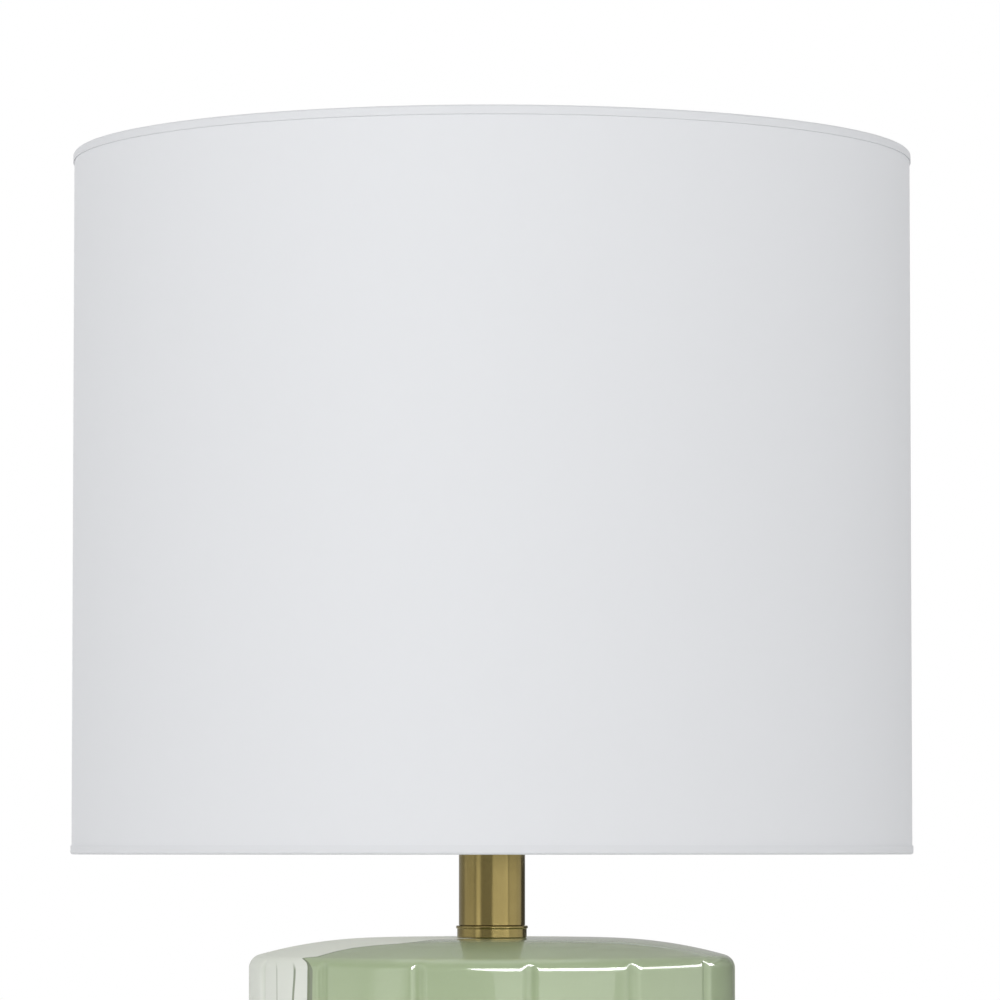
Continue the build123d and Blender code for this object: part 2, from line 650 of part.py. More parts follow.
def bulb_section(inset):
    """The face between the lamp's axis and the glass, drawn in by inset."""
    with BuildSketch(Plane.XZ) as section:
        with BuildLine():
            neck_r = BULB_NECK_R - inset
            neck = Line((neck_r, bulb_neck_top_z - BULB_NECK_L), (neck_r, bulb_neck_top_z))
            swell = JernArc(neck @ 1, (0, 1), bulb_radii - BULB_R + inset, -bulb_turn)
            ball = JernArc(swell @ 1, swell % 1, BULB_R - inset, bulb_turn + 90)
            Polyline(ball @ 1, (0, bulb_neck_top_z - BULB_NECK_L), neck @ 0)
        make_face()
    return section.sketch


with BuildPart() as bulb_glass:
    revolve(bulb_section(0), axis=Axis.Z)
    revolve(bulb_section(BULB_WALL), axis=Axis.Z, mode=Mode.SUBTRACT)
save(bulb_glass, "bulb_glass")

# The screw cap's lower edge turns in to the insulator.
with BuildPart() as bulb_cap:
    turned(
        (BULB_INSULATOR_R + SNUG, BULB_CAP_Z),
        (BULB_CAP_R, BULB_CAP_Z + BULB_CAP_LIP_H),
        (BULB_CAP_R, BULB_CAP_Z + BULB_CAP_H),
        (BULB_NECK_R + SNUG, BULB_CAP_Z + BULB_CAP_H),
        (BULB_NECK_R + SNUG, BULB_CAP_Z + BULB_CAP_LIP_H),
        (BULB_INSULATOR_R + SNUG, BULB_CAP_Z + BULB_CAP_LIP_H / 2),
    )
save(bulb_cap, "bulb_cap")

with BuildPart() as bulb_insulator:
    turned(
        (0, BULB_Z + BULB_TIP_H),
        (BULB_TIP_R, BULB_Z + BULB_TIP_H),
        (BULB_INSULATOR_R, BULB_CAP_Z),
        (BULB_INSULATOR_R, BULB_CAP_Z + BULB_CAP_LIP_H),
        (0, BULB_CAP_Z + BULB_CAP_LIP_H),
    )
save(bulb_insulator, "bulb_insulator")

with BuildPart() as bulb_tip:
    with BuildSketch(Plane.XY.offset(BULB_Z)):
        Circle(BULB_TIP_R)
    extrude(amount=BULB_TIP_H)
    fillet(edges().group_by(Axis.Z)[0], BULB_TIP_H / 2)
save(bulb_tip, "bulb_tip")

# ======================= harp =======================

# One wire: straight legs, an outward sweep, long sides and a round top, with an eye for the stud.
# Each leg's end is cut flat on its inner side, where it lies against an ear of the saddle.
leg_foot_z = SADDLE_TOP_Z + HARP_FOOT_GAP
leg_top_z = SADDLE_TOP_Z + HARP_LEG_STRAIGHT
arch_z = HARP_TOP_Z - HARP_WIRE_R - HARP_HALF_W
side_turn, side_radii = s_bend(HARP_HALF_W - SADDLE_HALF_SPAN, arch_z - leg_top_z)

with BuildPart() as harp_wire:
    with BuildLine(Plane.XZ) as half_harp:
        leg = Line((SADDLE_HALF_SPAN, leg_foot_z), (SADDLE_HALF_SPAN, leg_top_z))
        sweep_out = JernArc(leg @ 1, (0, 1), HARP_FOOT_SWEEP, -side_turn)
        long_side = JernArc(sweep_out @ 1, sweep_out % 1, side_radii - HARP_FOOT_SWEEP, side_turn)
        JernArc(long_side @ 1, (0, 1), HARP_HALF_W, 90)
    with BuildSketch(Plane.XY.offset(leg_foot_z)):
        with Locations((SADDLE_HALF_SPAN, 0)):
            Circle(HARP_WIRE_R)
    sweep(path=half_harp.wires()[0])
    with BuildSketch(Plane.XY.offset(leg_foot_z)):
        with Locations((SADDLE_HALF_SPAN + SNUG, 0)):
            Rectangle(2 * HARP_WIRE_R, 3 * HARP_WIRE_R, align=(Align.MAX, Align.CENTER))
    extrude(amount=FERRULE_CROWN_Z - leg_foot_z, mode=Mode.SUBTRACT)
    mirror(about=Plane.YZ)
    with BuildSketch(Plane.XY.offset(HARP_TOP_Z)):
        Circle(HARP_EYE_R)
    extrude(amount=-2 * HARP_WIRE_R)
    with BuildSketch(Plane.XY.offset(HARP_TOP_Z - 2 * HARP_WIRE_R)):
        Circle(HARP_EYE_R)
    extrude(amount=-HARP_WIRE_R, mode=Mode.SUBTRACT)
    with BuildSketch(Plane.XY.offset(HARP_TOP_Z)):
        Circle(SHANK_R + RUNNING)
    extrude(amount=-2 * HARP_WIRE_R, mode=Mode.SUBTRACT)
save(harp_wire, "harp_wire")

for side, name in ((-1, "ferrule_left"), (1, "ferrule_right")):
    with BuildPart() as ferrule:
        ferrule_top_z = FERRULE_CROWN_Z + FERRULE_CROWN_T
        turned(
            (HARP_WIRE_R + RUNNING, FERRULE_CROWN_Z),
            (HARP_WIRE_R + RUNNING, ferrule_top_z),
            (FERRULE_R - FERRULE_WALL, ferrule_top_z),
            (FERRULE_BEAD_R, ferrule_top_z - FERRULE_BEAD_H / 2),
            (FERRULE_R, ferrule_top_z - FERRULE_BEAD_H),
            (FERRULE_R, FERRULE_Z + FERRULE_BEAD_H),
            (FERRULE_BEAD_R, FERRULE_Z + FERRULE_BEAD_H / 2),
            (FERRULE_R, FERRULE_Z),
            (FERRULE_BORE_R, FERRULE_Z),
            (FERRULE_BORE_R, FERRULE_CROWN_Z),
            axis_x=side * SADDLE_HALF_SPAN,
        )
    save(ferrule, name)

# The disc that the shade rests on, with the finial's stud above it and a shank riveted under the harp's eye.
with BuildPart() as harp_stud:
    rivet_z = HARP_TOP_Z - 2 * HARP_WIRE_R - STUD_END_PLAY
    turned(
        (0, rivet_z - RIVET_T),
        (RIVET_R / 2, rivet_z - RIVET_T),
        (RIVET_R, rivet_z - RIVET_T / 2),
        (RIVET_R, rivet_z),
        (SHANK_R, rivet_z),
        (SHANK_R, REST_Z - REST_T),
        (REST_R, REST_Z - REST_T),
        (REST_R, REST_Z),
        (STUD_R, REST_Z),
        (STUD_R, REST_Z + STUD_H - STUD_POINT),
        (STUD_R - STUD_POINT, REST_Z + STUD_H),
        (0, REST_Z + STUD_H),
    )
save(harp_stud, "harp_stud")

# ======================= shade =======================

wall_inset = HEM_TURN + HEM_T  # from a rim of the shade to the edge of its wall
wall_z = SHADE_Z + wall_inset
wall_h = SHADE_H - 2 * wall_inset

with BuildPart() as shade_liner:
    ring(wall_z, wall_h, LINER_R, LINER_R - LINER_T)
save(shade_liner, "shade_liner")

with BuildPart() as shade_cloth:
    ring(wall_z, wall_h, CLOTH_R, CLOTH_R - CLOTH_T)
save(shade_cloth, "shade_cloth")

# A strip hems the wall. It runs down outside the cloth, turns in under the wire ring and ends inside it.
with BuildPart() as bottom_hem:
    with BuildSketch(Plane.XZ):
        with BuildLine():
            Polyline(
                (SHADE_R, SHADE_Z + HEM_H),
                (SHADE_R, SHADE_Z + HEM_TURN),
                (SHADE_R - HEM_TURN, SHADE_Z),
                (HEM_TUCK_R + HEM_TURN, SHADE_Z),
                (HEM_TUCK_R, SHADE_Z + HEM_TURN),
                (HEM_TUCK_R, SHADE_Z + HEM_TUCK_H),
            )
            offset(amount=HEM_T, side=Side.RIGHT, kind=Kind.INTERSECTION)
        make_face()
    revolve(axis=Axis.Z)
save(bottom_hem, "bottom_hem")

with BuildPart() as top_hem:
    mirror(bottom_hem.part, about=Plane.XY.offset(SHADE_Z + SHADE_H / 2))
save(top_hem, "top_hem")


def wire_ring(middle_z):
    """Adds a wire ring just inside the liner."""
    with BuildSketch(Plane.XZ) as section:
        with Locations((RING_R, middle_z)):
            Circle(RING_WIRE_R)
    revolve(section.sketch, axis=Axis.Z)


with BuildPart() as bottom_ring:
    wire_ring(SHADE_Z + RING_INSET)
save(bottom_ring, "bottom_ring")

# The spider: a washer, three arms that bend up at their ends, and the top ring that they are welded to.
with BuildPart() as spider_arm:
    with BuildLine(Plane.XZ) as arm_path:
        FilletPolyline(
            (SPIDER_HUB_R - SPIDER_ARM_R, REST_Z + SPIDER_HUB_T / 2),
            (RING_R, REST_Z + SPIDER_HUB_T / 2),
            (RING_R, SHADE_TOP_Z - RING_INSET),
            radius=SPIDER_ARM_BEND,
        )
    with BuildSketch(radial_plane(0, REST_Z + SPIDER_HUB_T / 2, SPIDER_HUB_R - SPIDER_ARM_R)):
        Circle(SPIDER_ARM_R)
    sweep(path=arm_path.wires()[0])

with BuildPart() as shade_spider:
    ring(REST_Z, SPIDER_HUB_T, SPIDER_HUB_R, SPIDER_HOLE_R)
    wire_ring(SHADE_TOP_Z - RING_INSET)
    with PolarLocations(0, SPIDER_ARMS, start_angle=SPIDER_FIRST_DEG):
        add(spider_arm.part)
save(shade_spider, "shade_spider")

# ======================= finial =======================

with BuildPart() as finial:
    waist_z = HUB_TOP_Z + FINIAL_BASE_H
    ball_z = waist_z + FINIAL_WAIST_H + sqrt(FINIAL_BALL_R**2 - FINIAL_WAIST_R**2)
    turned(
        (0, HUB_TOP_Z),
        (FINIAL_BASE_R, HUB_TOP_Z),
        (FINIAL_BASE_R, HUB_TOP_Z + FINIAL_BASE_H / 2),
        (FINIAL_WAIST_R, waist_z),
        (FINIAL_WAIST_R, ball_z),
        (0, ball_z),
    )
    with BuildSketch(Plane.XZ):
        with Locations((0, ball_z)):
            Circle(FINIAL_BALL_R)
        split(bisect_by=Plane.YZ)
    revolve(axis=Axis.Z)
    with BuildSketch(Plane.XY.offset(HUB_TOP_Z)):
        Circle(STUD_R + RUNNING)
    extrude(amount=FINIAL_HOLE_DEPTH, mode=Mode.SUBTRACT)
save(finial, "finial")
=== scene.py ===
"""The looks of a table lamp: a grooved ceramic jar, a brass neck and a white drum shade.

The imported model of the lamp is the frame. Its turned, glazed, woven and threaded pieces are modelled
here over the frame's plain solids, and every other piece of the frame gets its finish. Metres. +Z is
up, the origin is on the lamp's axis where it stands, and the front of the lamp faces -Y.
"""

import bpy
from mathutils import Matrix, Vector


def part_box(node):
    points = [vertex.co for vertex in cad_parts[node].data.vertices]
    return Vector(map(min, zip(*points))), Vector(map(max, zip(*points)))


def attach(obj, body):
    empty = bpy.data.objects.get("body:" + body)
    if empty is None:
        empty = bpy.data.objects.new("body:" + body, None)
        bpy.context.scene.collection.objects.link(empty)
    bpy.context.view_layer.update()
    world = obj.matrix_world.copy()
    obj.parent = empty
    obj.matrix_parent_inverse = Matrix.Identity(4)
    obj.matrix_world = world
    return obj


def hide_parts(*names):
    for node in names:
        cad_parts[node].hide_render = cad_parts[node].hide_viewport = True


bl_info = {
    "name": "Jar Lamp",
    "version": (1, 0, 0),
    "blender": (4, 5, 0),
    "location": "View3D > Sidebar > Jar Lamp",
    "description": "Models and dresses a table lamp with a grooved ceramic jar and a white drum shade",
    "category": "Add Mesh",
}

from math import asin, atan2, cos, degrees, exp, hypot, log, pi, radians, remainder, sin, sqrt

import bpy
from bpy.props import FloatProperty, FloatVectorProperty, IntProperty, PointerProperty
from mathutils import Vector

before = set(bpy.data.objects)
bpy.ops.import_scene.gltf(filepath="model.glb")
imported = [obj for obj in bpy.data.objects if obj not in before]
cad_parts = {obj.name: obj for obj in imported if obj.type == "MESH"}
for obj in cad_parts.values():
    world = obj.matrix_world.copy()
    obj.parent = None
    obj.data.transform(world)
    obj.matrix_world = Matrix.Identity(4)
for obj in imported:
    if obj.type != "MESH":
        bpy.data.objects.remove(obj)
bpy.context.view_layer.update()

MM = 0.001


def reach(node):
    """How far a round piece of the frame reaches from the lamp's axis."""
    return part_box(node)[1][0]


def bottom(node):
    """The lowest level of a piece of the frame."""
    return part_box(node)[0][2]


def top(node):
    """The highest level of a piece of the frame."""
    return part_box(node)[1][2]


# ======================= settings =======================


def length_property(name, description, default):
    """A size in metres that the sidebar shows in the scene's own unit."""
    return FloatProperty(
        name=name, description=description, default=default, subtype="DISTANCE", unit="LENGTH"
    )


def angle_property(name, description, default):
    """An angle, given in degrees."""
    return FloatProperty(name=name, description=description, default=radians(default), subtype="ANGLE")


def colour_property(name, description, default):
    """A colour, given as the eye sees it, from 0 to 255 for each of red, green and blue."""
    linear = [((level / 255 + 0.055) / 1.055) ** 2.4 for level in default]
    return FloatVectorProperty(
        name=name, description=description, default=(*linear, 1.0), size=4, min=0, max=1, subtype="COLOR"
    )


class JarSettings(bpy.types.PropertyGroup):
    """The jar's shape and glaze."""

    wall: length_property("Wall", "Thickness of the jar's wall", 6 * MM)
    crown_radius: length_property("Crown radius", "Radius of the level crown", 40 * MM)
    dome_radius: length_property("Dome radius", "Radius of the dome round the crown", 165 * MM)
    shoulder_round: length_property("Shoulder round", "Round between the dome and the side", 5 * MM)
    foot_round: length_property("Foot round", "Round at the foot", 4 * MM)
    foot_ring: length_property("Foot ring", "Width of the ring that the jar stands on", 14 * MM)
    floor_rise: length_property("Floor rise", "Height of the floor's underside above the foot", 10 * MM)
    floor_hole: length_property("Floor hole", "Radius of the hole in the floor", 22 * MM)
    crown_hole: length_property("Crown hole", "Radius of the hole in the crown", 6.5 * MM)
    cord_hole: length_property("Cord hole", "Radius of the hole for the cord's bushing", 6.05 * MM)
    groove_count: IntProperty(name="Grooves", description="Number of upright grooves", default=14, min=3)
    groove_first: angle_property("First groove", "Bearing of the groove just left of the front", -17)
    groove_width: length_property("Groove width", "Width of each groove", 5 * MM)
    groove_depth: length_property("Groove depth", "Depth of each groove", 1.1 * MM)
    groove_melt: length_property("Groove melt", "How far the glaze rounds a groove's edges", 0.35 * MM)
    green: colour_property("Green glaze", "Colour of the glaze on the front", (165, 181, 145))
    pale_green: colour_property("Pale green", "Colour where the glaze ran thin", (177, 189, 161))
    deep_green: colour_property("Deep green", "Colour where the glaze is thick", (150, 167, 128))
    white: colour_property("White glaze", "Colour of the field at the left and back", (226, 229, 221))
    line: colour_property("Line", "Colour of the lines at the edge of the field", (128, 137, 114))
    field_left: angle_property("Field's left edge", "Bearing of the field's edge beside the front", -46.7)
    field_right: angle_property("Field's right edge", "Bearing of the field's edge at the back", 118)


class NeckSettings(bpy.types.PropertyGroup):
    """The turned brass between the jar and the harp."""

    wall: length_property("Tube wall", "Thickness of the neck tube's wall", 1.2 * MM)
    lip: length_property("Lip", "Height of the lip round the top of the seat ring", 1.1 * MM)
    lip_reach: length_property("Lip's reach", "How far the lip stands out from the seat ring", 0.4 * MM)
    bore: length_property("Bore", "Radius of the hole for the rod in the ring and the cap", 5.3 * MM)
    brass: colour_property("Brass", "Colour of the antique brass", (160, 144, 94))
    tarnish: colour_property("Tarnish", "Colour where the brass has darkened", (124, 108, 62))


class ShadeSettings(bpy.types.PropertyGroup):
    """The shade's cloth and hems."""

    cloth_thickness: length_property("Cloth", "Thickness of the cloth", 0.5 * MM)
    thread_pitch: length_property("Threads", "Distance from thread to thread in the weave", 0.5 * MM)
    lap: length_property("Lap", "Width of the upright seam at the back", 12 * MM)
    hem_height: length_property("Hem", "Height of the hem outside the shade", 3.2 * MM)
    hem_tuck: length_property("Tuck", "Height of the hem inside the shade", 4.6 * MM)
    hem_thickness: length_property("Hem cloth", "Thickness of the hem's cloth", 0.35 * MM)
    white: colour_property("Cloth's white", "Colour of the shade's cloth", (236, 237, 239))
    shadow: colour_property("Cloth's shadow", "Colour between the threads", (214, 216, 220))


class StageSettings(bpy.types.PropertyGroup):
    """The camera and the studio light."""

    camera_distance: length_property("Camera distance", "From the lamp's axis to the camera", 2.126)
    camera_height: length_property("Camera height", "Height of the camera above the floor", 280.6 * MM)
    camera_pitch: angle_property("Camera pitch", "How far the camera looks up", 3.423)
    camera_turn: angle_property("Camera turn", "How far the camera looks to the right", 0.0784)
    camera_lens: FloatProperty(name="Lens", description="Focal length, on a 36 mm sensor", default=210.8)
    floor_size: length_property("Floor", "Width of the round floor", 7.2)
    surround_radius: length_property("Surround", "Radius of the wall that reflections see", 1.9)
    surround_height: length_property("Surround height", "Height of that wall", 1.5)
    light_distance: length_property("Light distance", "From the lamp's axis to each soft light", 4)
    gloss_distance: length_property("Gloss distance", "From the axis to each light for gloss", 1.6)
    world_light: FloatProperty(name="World", description="Brightness of the even light", default=0.353)
    floor_light: FloatProperty(name="Floor's own light", description="Share of its white", default=0.6)
    glow: FloatProperty(name="Glow", description="Brightness under the shade", default=0.42)
    glow_width: length_property("Glow width", "Width of the light under the shade", 240 * MM)


# ======================= modelling =======================


def start_editing(piece):
    """Opens a piece in edit mode with nothing else selected."""
    bpy.ops.object.select_all(action="DESELECT")
    piece.select_set(True)
    bpy.context.view_layer.objects.active = piece
    bpy.ops.object.mode_set(mode="EDIT")
    bpy.ops.mesh.select_all(action="SELECT")


def round_corner(centre, radius, start, end, steps):
    """Points of an arc in an outline, between two angles in degrees above the outward way."""
    angles = [radians(start + (end - start) * step / steps) for step in range(steps + 1)]
    return [(centre[0] + radius * cos(angle), centre[1] + radius * sin(angle)) for angle in angles]


def turn(name, outline, steps, bearing=0.0):
    """Turns a closed outline of (radius, level) points round the lamp's axis, as on a lathe."""
    bpy.ops.object.select_all(action="DESELECT")
    bpy.ops.mesh.primitive_plane_add(size=MM, location=(0, 0, 0))
    piece = bpy.context.object
    piece.name = piece.data.name = name
    start_editing(piece)
    bpy.ops.mesh.merge(type="CENTER")
    here = Vector((0, 0, 0))
    for index, (radius, level) in enumerate([*outline, outline[0]]):
        there = Vector((radius * cos(bearing), radius * sin(bearing), level))
        if index == 0:
            bpy.ops.transform.translate(value=there - here)
        else:
            bpy.ops.mesh.extrude_vertices_move(TRANSFORM_OT_translate={"value": there - here})
        here = there
    bpy.ops.mesh.select_all(action="SELECT")
    bpy.ops.mesh.spin(steps=steps, angle=2 * pi, center=(0, 0, 0), axis=(0, 0, 1))
    close_mesh()
    bpy.ops.object.mode_set(mode="OBJECT")
    smooth(piece)
    return piece


def close_mesh():
    """Merges what meets in the mesh that is open and turns its faces outward."""
    bpy.ops.mesh.select_all(action="SELECT")
    bpy.ops.mesh.remove_doubles(threshold=0.005 * MM)
    bpy.ops.mesh.normals_make_consistent(inside=False)


def smooth(piece, angle=35):
    """Shades a piece smooth, apart from edges that are sharper than an angle in degrees."""
    bpy.ops.object.select_all(action="DESELECT")
    piece.select_set(True)
    bpy.context.view_layer.objects.active = piece
    bpy.ops.object.shade_smooth_by_angle(angle=radians(angle))


def apply_modifier(piece, kind, **settings):
    """Adds a modifier to a piece and applies it."""
    bpy.ops.object.select_all(action="DESELECT")
    piece.select_set(True)
    bpy.context.view_layer.objects.active = piece
    modifier = piece.modifiers.new(kind.title(), kind)
    for setting, value in settings.items():
        setattr(modifier, setting, value)
    bpy.ops.object.modifier_apply(modifier=modifier.name)


def cut_round_hole(piece, radius, depth, middle, rotation):
    """Bores a round hole through a piece."""
    bpy.ops.mesh.primitive_cylinder_add(
        vertices=64, radius=radius, depth=depth, location=middle, rotation=rotation
    )
    cutter = bpy.context.object
    apply_modifier(piece, "BOOLEAN", operation="DIFFERENCE", solver="EXACT", object=cutter)
    bpy.data.objects.remove(cutter)


def map_wrap(piece):
    """Gives a piece round the lamp's axis a UV map in metres: along its circumference, and up it."""
    layer = piece.data.uv_layers.new(name="Cloth")
    vertices, loops = piece.data.vertices, piece.data.loops
    for face in piece.data.polygons:
        middle = atan2(-face.center.x, face.center.y)
        for index in face.loop_indices:
            place = vertices[loops[index].vertex_index].co
            offset = remainder(atan2(-place.x, place.y) - middle, 2 * pi)
            layer.data[index].uv = ((middle + offset) * hypot(place.x, place.y), place.z)


def cut_thread(piece, first, last, depth, pitch, inward=True):
    """Presses a rolled screw thread into the wall of a turned piece between two levels."""
    for vertex in piece.data.vertices:
        place = vertex.co
        if first <= place.z <= last:
            turns = (place.z - first) / pitch - atan2(place.y, place.x) / (2 * pi)
            fade = min(1, (place.z - first) / pitch, (last - place.z) / pitch)
            radius = hypot(place.x, place.y)
            wave = depth * fade * (0.5 - 0.5 * cos(2 * pi * turns))
            scale = (radius - wave if inward else radius + wave) / radius
            place.x, place.y = place.x * scale, place.y * scale


def stands_for(piece, body, slot, *nodes):
    """Puts a modelled piece on its body in place of the frame's plain solids."""
    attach(piece, body)
    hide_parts(*nodes)


# ======================= finishes =======================


class Value:
    """A socket of a finish's nodes, which takes part in sums as a number does."""

    def __init__(self, finish, socket):
        self.finish = finish
        self.socket = socket

    def sum(self, operation, *terms):
        """A Math node's result on these terms."""
        return self.finish.node("ShaderNodeMath", {"operation": operation}, dict(enumerate(terms)))

    def __add__(self, other):
        return self.sum("ADD", self, other)

    def __sub__(self, other):
        return self.sum("SUBTRACT", self, other)

    def __rsub__(self, other):
        return self.sum("SUBTRACT", other, self)

    def __mul__(self, other):
        return self.sum("MULTIPLY", self, other)

    def __truediv__(self, other):
        return self.sum("DIVIDE", self, other)

    def __abs__(self):
        return self.sum("ABSOLUTE", self)

    __radd__ = __add__
    __rmul__ = __mul__

    def power(self, other):
        """This value to the power of another."""
        return self.sum("POWER", self, other)

    def wave(self):
        """The sine of this value."""
        return self.sum("SINE", self)

    def larger(self, other):
        """The larger of two values."""
        return self.sum("MAXIMUM", self, other)

    def rise(self, low, high):
        """0 at low, 1 at high, and a soft rise between them."""
        bounds = {"Value": self, "From Min": low, "From Max": high}
        return self.finish.node("ShaderNodeMapRange", {"interpolation_type": "SMOOTHSTEP"}, bounds)


class Finish:
    """A material that is built from its nodes."""

    def __init__(self, name, **constants):
        self.material = bpy.data.materials.new(name)
        self.material.use_nodes = True
        self.nodes = self.material.node_tree.nodes
        self.links = self.material.node_tree.links
        self.shader = next(node for node in self.nodes if node.type == "BSDF_PRINCIPLED")
        for socket, constant in constants.items():
            self.set(self.shader.inputs[socket.replace("_", " ")], constant)

    def set(self, socket, value):
        """Links a value to a socket, or sets it there."""
        if isinstance(value, Value):
            self.links.new(value.socket, socket)
        else:
            socket.default_value = value

    def node(self, kind, settings=None, inputs=None, output=0):
        """Adds a node with its settings first and then its inputs, and gives one of its outputs."""
        node = self.nodes.new(kind)
        for setting, value in (settings or {}).items():
            if setting == "stops":
                ramp = node.color_ramp
                while len(ramp.elements) < len(value):
                    ramp.elements.new(1)
                for element, (position, colour) in zip(ramp.elements, value):
                    element.position = position
                    element.color = colour
            elif setting == "interpolation":
                node.color_ramp.interpolation = value
            else:
                setattr(node, setting, value)
        for socket, value in (inputs or {}).items():
            self.set(node.inputs[socket], value)
        return Value(self, node.outputs[output])

    def place(self, output="Object"):
        """The place on the piece that the pattern follows."""
        return self.node("ShaderNodeTexCoord", output=output)

    def axes(self, place):
        """The three numbers of a place."""
        parts = [self.node("ShaderNodeSeparateXYZ", None, {0: place}, output) for output in range(3)]
        return parts

    def stretch(self, place, scale):
        """A place that is scaled along each axis."""
        return self.node("ShaderNodeMapping", None, {"Vector": place, "Scale": scale})

    def noise(self, place, scale, detail=2.0):
        """Smooth noise between 0 and 1, with so many bumps to the metre."""
        return self.node("ShaderNodeTexNoise", None, {"Vector": place, "Scale": scale, "Detail": detail})

    def blend(self, share, first, second):
        """The first colour where the share is 0, the second where it is 1."""
        return self.node("ShaderNodeMix", {"data_type": "RGBA"}, {0: share, 6: first, 7: second}, 2)

    def wear(self, **sockets):
        """Feeds the shader's sockets that change over the surface."""
        for socket, value in sockets.items():
            self.set(self.shader.inputs[socket.replace("_", " ")], value)

    def relief(self, height, distance=1.0):
        """Raises the surface by a height in metres."""
        bump = self.node("ShaderNodeBump", None, {"Height": height, "Distance": distance})
        self.set(self.shader.inputs["Normal"], bump)


FINISHES = {}


def finish(make):
    """Keeps what a finish's function makes, so that each finish is made once."""

    def once():
        if make.__name__ not in FINISHES:
            FINISHES[make.__name__] = make()
        return FINISHES[make.__name__]

    return once


# The field's left edge: how far from the axis in millimetres, and how many degrees left of the front.
FIELD_EDGE = (
    (0.0, 22),
    (35, 22.6),
    (55, 27.5),
    (61, 32),
    (65, 38),
    (70, 42.6),
    (76, 45.2),
    (83.3, 46.5),
    (85.3, 50.7),
    (86.9, 47.6),
)
FIELD_EDGE_ON_SIDE = 46


@finish
def two_glazes():
    """Glossy green glaze, with a white field on the left and at the back inside thin grey lines."""
    jar = bpy.context.scene.lamp_jar
    glaze = Finish("two_glazes", Specular_IOR_Level=0.1, Coat_Roughness=0.04, Coat_IOR=1.72)
    place = glaze.place()
    x, y, z = glaze.axes(place)
    radius = (x * x + y * y).power(0.5)
    bearing = glaze.node("ShaderNodeMath", {"operation": "ARCTAN2"}, {0: x, 1: y * -1})
    waver = (glaze.noise(glaze.stretch(place, (1, 1, 0.5)), 38) - 0.5) * radians(1.4)

    # On the dome the field's left edge runs to the neck in a low curve, after a peak on the shoulder.
    side = reach("jar")
    stops = [(reached * MM / side, (angle / 90,) * 3 + (1,)) for reached, angle in FIELD_EDGE]
    stops.append((1.0, (FIELD_EDGE_ON_SIDE / 90,) * 3 + (1,)))
    left = glaze.node("ShaderNodeValToRGB", {"stops": stops}, {0: radius / side}) * radians(-90)
    left = left + (jar.field_left + radians(FIELD_EDGE_ON_SIDE))
    inside = (left - bearing).larger(bearing - jar.field_right) + waver
    inside = inside * radius
    field = inside.rise(-0.2 * MM, 0.2 * MM)

    shoulder = top("jar") - 10 * MM
    on_side = z.rise(shoulder + 2.5 * MM, shoulder - 1 * MM)
    edge_width = 0.45 * MM + on_side * 0.75 * MM
    edge = 1 - (abs(inside) - edge_width).rise(0.0, 0.35 * MM)
    lean = z.rise(shoulder, shoulder - 14 * MM) * 1.4 * MM
    second = 1 - abs(inside - 8.4 * MM - lean).rise(0.45 * MM, 0.8 * MM)
    third = 1 - abs(inside - 20.8 * MM).rise(0.3 * MM, 0.65 * MM)
    lines = edge.larger(on_side * (second * 0.85).larger(third * 0.4))

    # The glaze is thick and darker in the grooves. The lighter band round the shoulder is partly thin
    # glaze and partly a painted reflection.
    groove = radius.rise(side - 0.25 * MM, side - 1.0 * MM) * on_side
    above_side = z.rise(shoulder + 1 * MM, shoulder + 4 * MM)
    painted_reflection_and_thin_glaze = above_side * z.rise(shoulder + 8 * MM, shoulder + 5 * MM)
    cloud = glaze.noise(place, 22, 3.0)
    fleck = glaze.noise(place, 900, 1.0)
    green = glaze.blend(cloud.rise(0.35, 0.75) * 0.35, jar.green, jar.deep_green)
    # The shoulder band is lighter: thin glaze plus a painted reflection, with random pale flecks.
    green = glaze.blend(painted_reflection_and_thin_glaze * 0.35 + fleck.rise(0.6, 0.8) * 0.12, green, jar.pale_green)
    green = glaze.blend(groove * 0.55, green, jar.deep_green)
    white = glaze.blend(cloud.rise(0.4, 0.8) * 0.1 + groove * 0.12, jar.white, jar.pale_green)
    colour = glaze.blend(lines, glaze.blend(field, green, white), jar.line)
    glaze.wear(Base_Color=colour, Roughness=0.42 + fleck * 0.1, Coat_Weight=1 - field * 0.8)
    # The glaze lies in slow swells, with a fine ripple on them.
    ripple = glaze.noise(place, 260, 2.0) * 0.001 * MM
    glaze.relief(glaze.noise(place, 26, 1.0) * 0.15 * MM + ripple)
    return glaze.material


def metal(name, colour, tarnish, roughness, grain, depth):
    """Brushed metal, with its grain along the stretched way and darker clouds of tarnish."""
    bare = Finish(name, Metallic=1.0, Anisotropic=0.7, Anisotropic_Rotation=0.25)
    place = bare.place()
    brushed = bare.noise(bare.stretch(place, grain), 1.0, 4.0)
    cloud = bare.noise(place, 60, 3.0)
    bare.wear(
        Base_Color=bare.blend(cloud.rise(0.35, 0.8) * 0.25 + brushed * 0.25, colour, tarnish),
        Roughness=roughness + brushed * 0.06 + cloud.rise(0.4, 0.9) * 0.04,
    )
    bare.relief(brushed * depth)
    return bare.material


@finish
def long_brass():
    """Antique brass, brushed along the neck."""
    neck = bpy.context.scene.lamp_neck
    return metal("long_brass", neck.brass, neck.tarnish, 0.12, (1500, 1500, 30), 0.001 * MM)


@finish
def turned_brass():
    """Antique brass, brushed round the axis as it turned."""
    neck = bpy.context.scene.lamp_neck
    return metal("turned_brass", neck.brass, neck.tarnish, 0.14, (90, 90, 4200), 0.0015 * MM)


@finish
def bright_brass():
    """Yellow lacquered brass, as thin pressed socket parts have it."""
    neck = bpy.context.scene.lamp_neck
    yellow = (0.66, 0.5, 0.2, 1)
    return metal("bright_brass", yellow, neck.brass, 0.16, (200, 200, 2600), 0.003 * MM)


@finish
def zinc():
    """Zinc-plated steel."""
    plating, dull = (0.56, 0.56, 0.57, 1), (0.38, 0.38, 0.4, 1)
    return metal("zinc", plating, dull, 0.28, (900, 900, 900), 0.004 * MM)


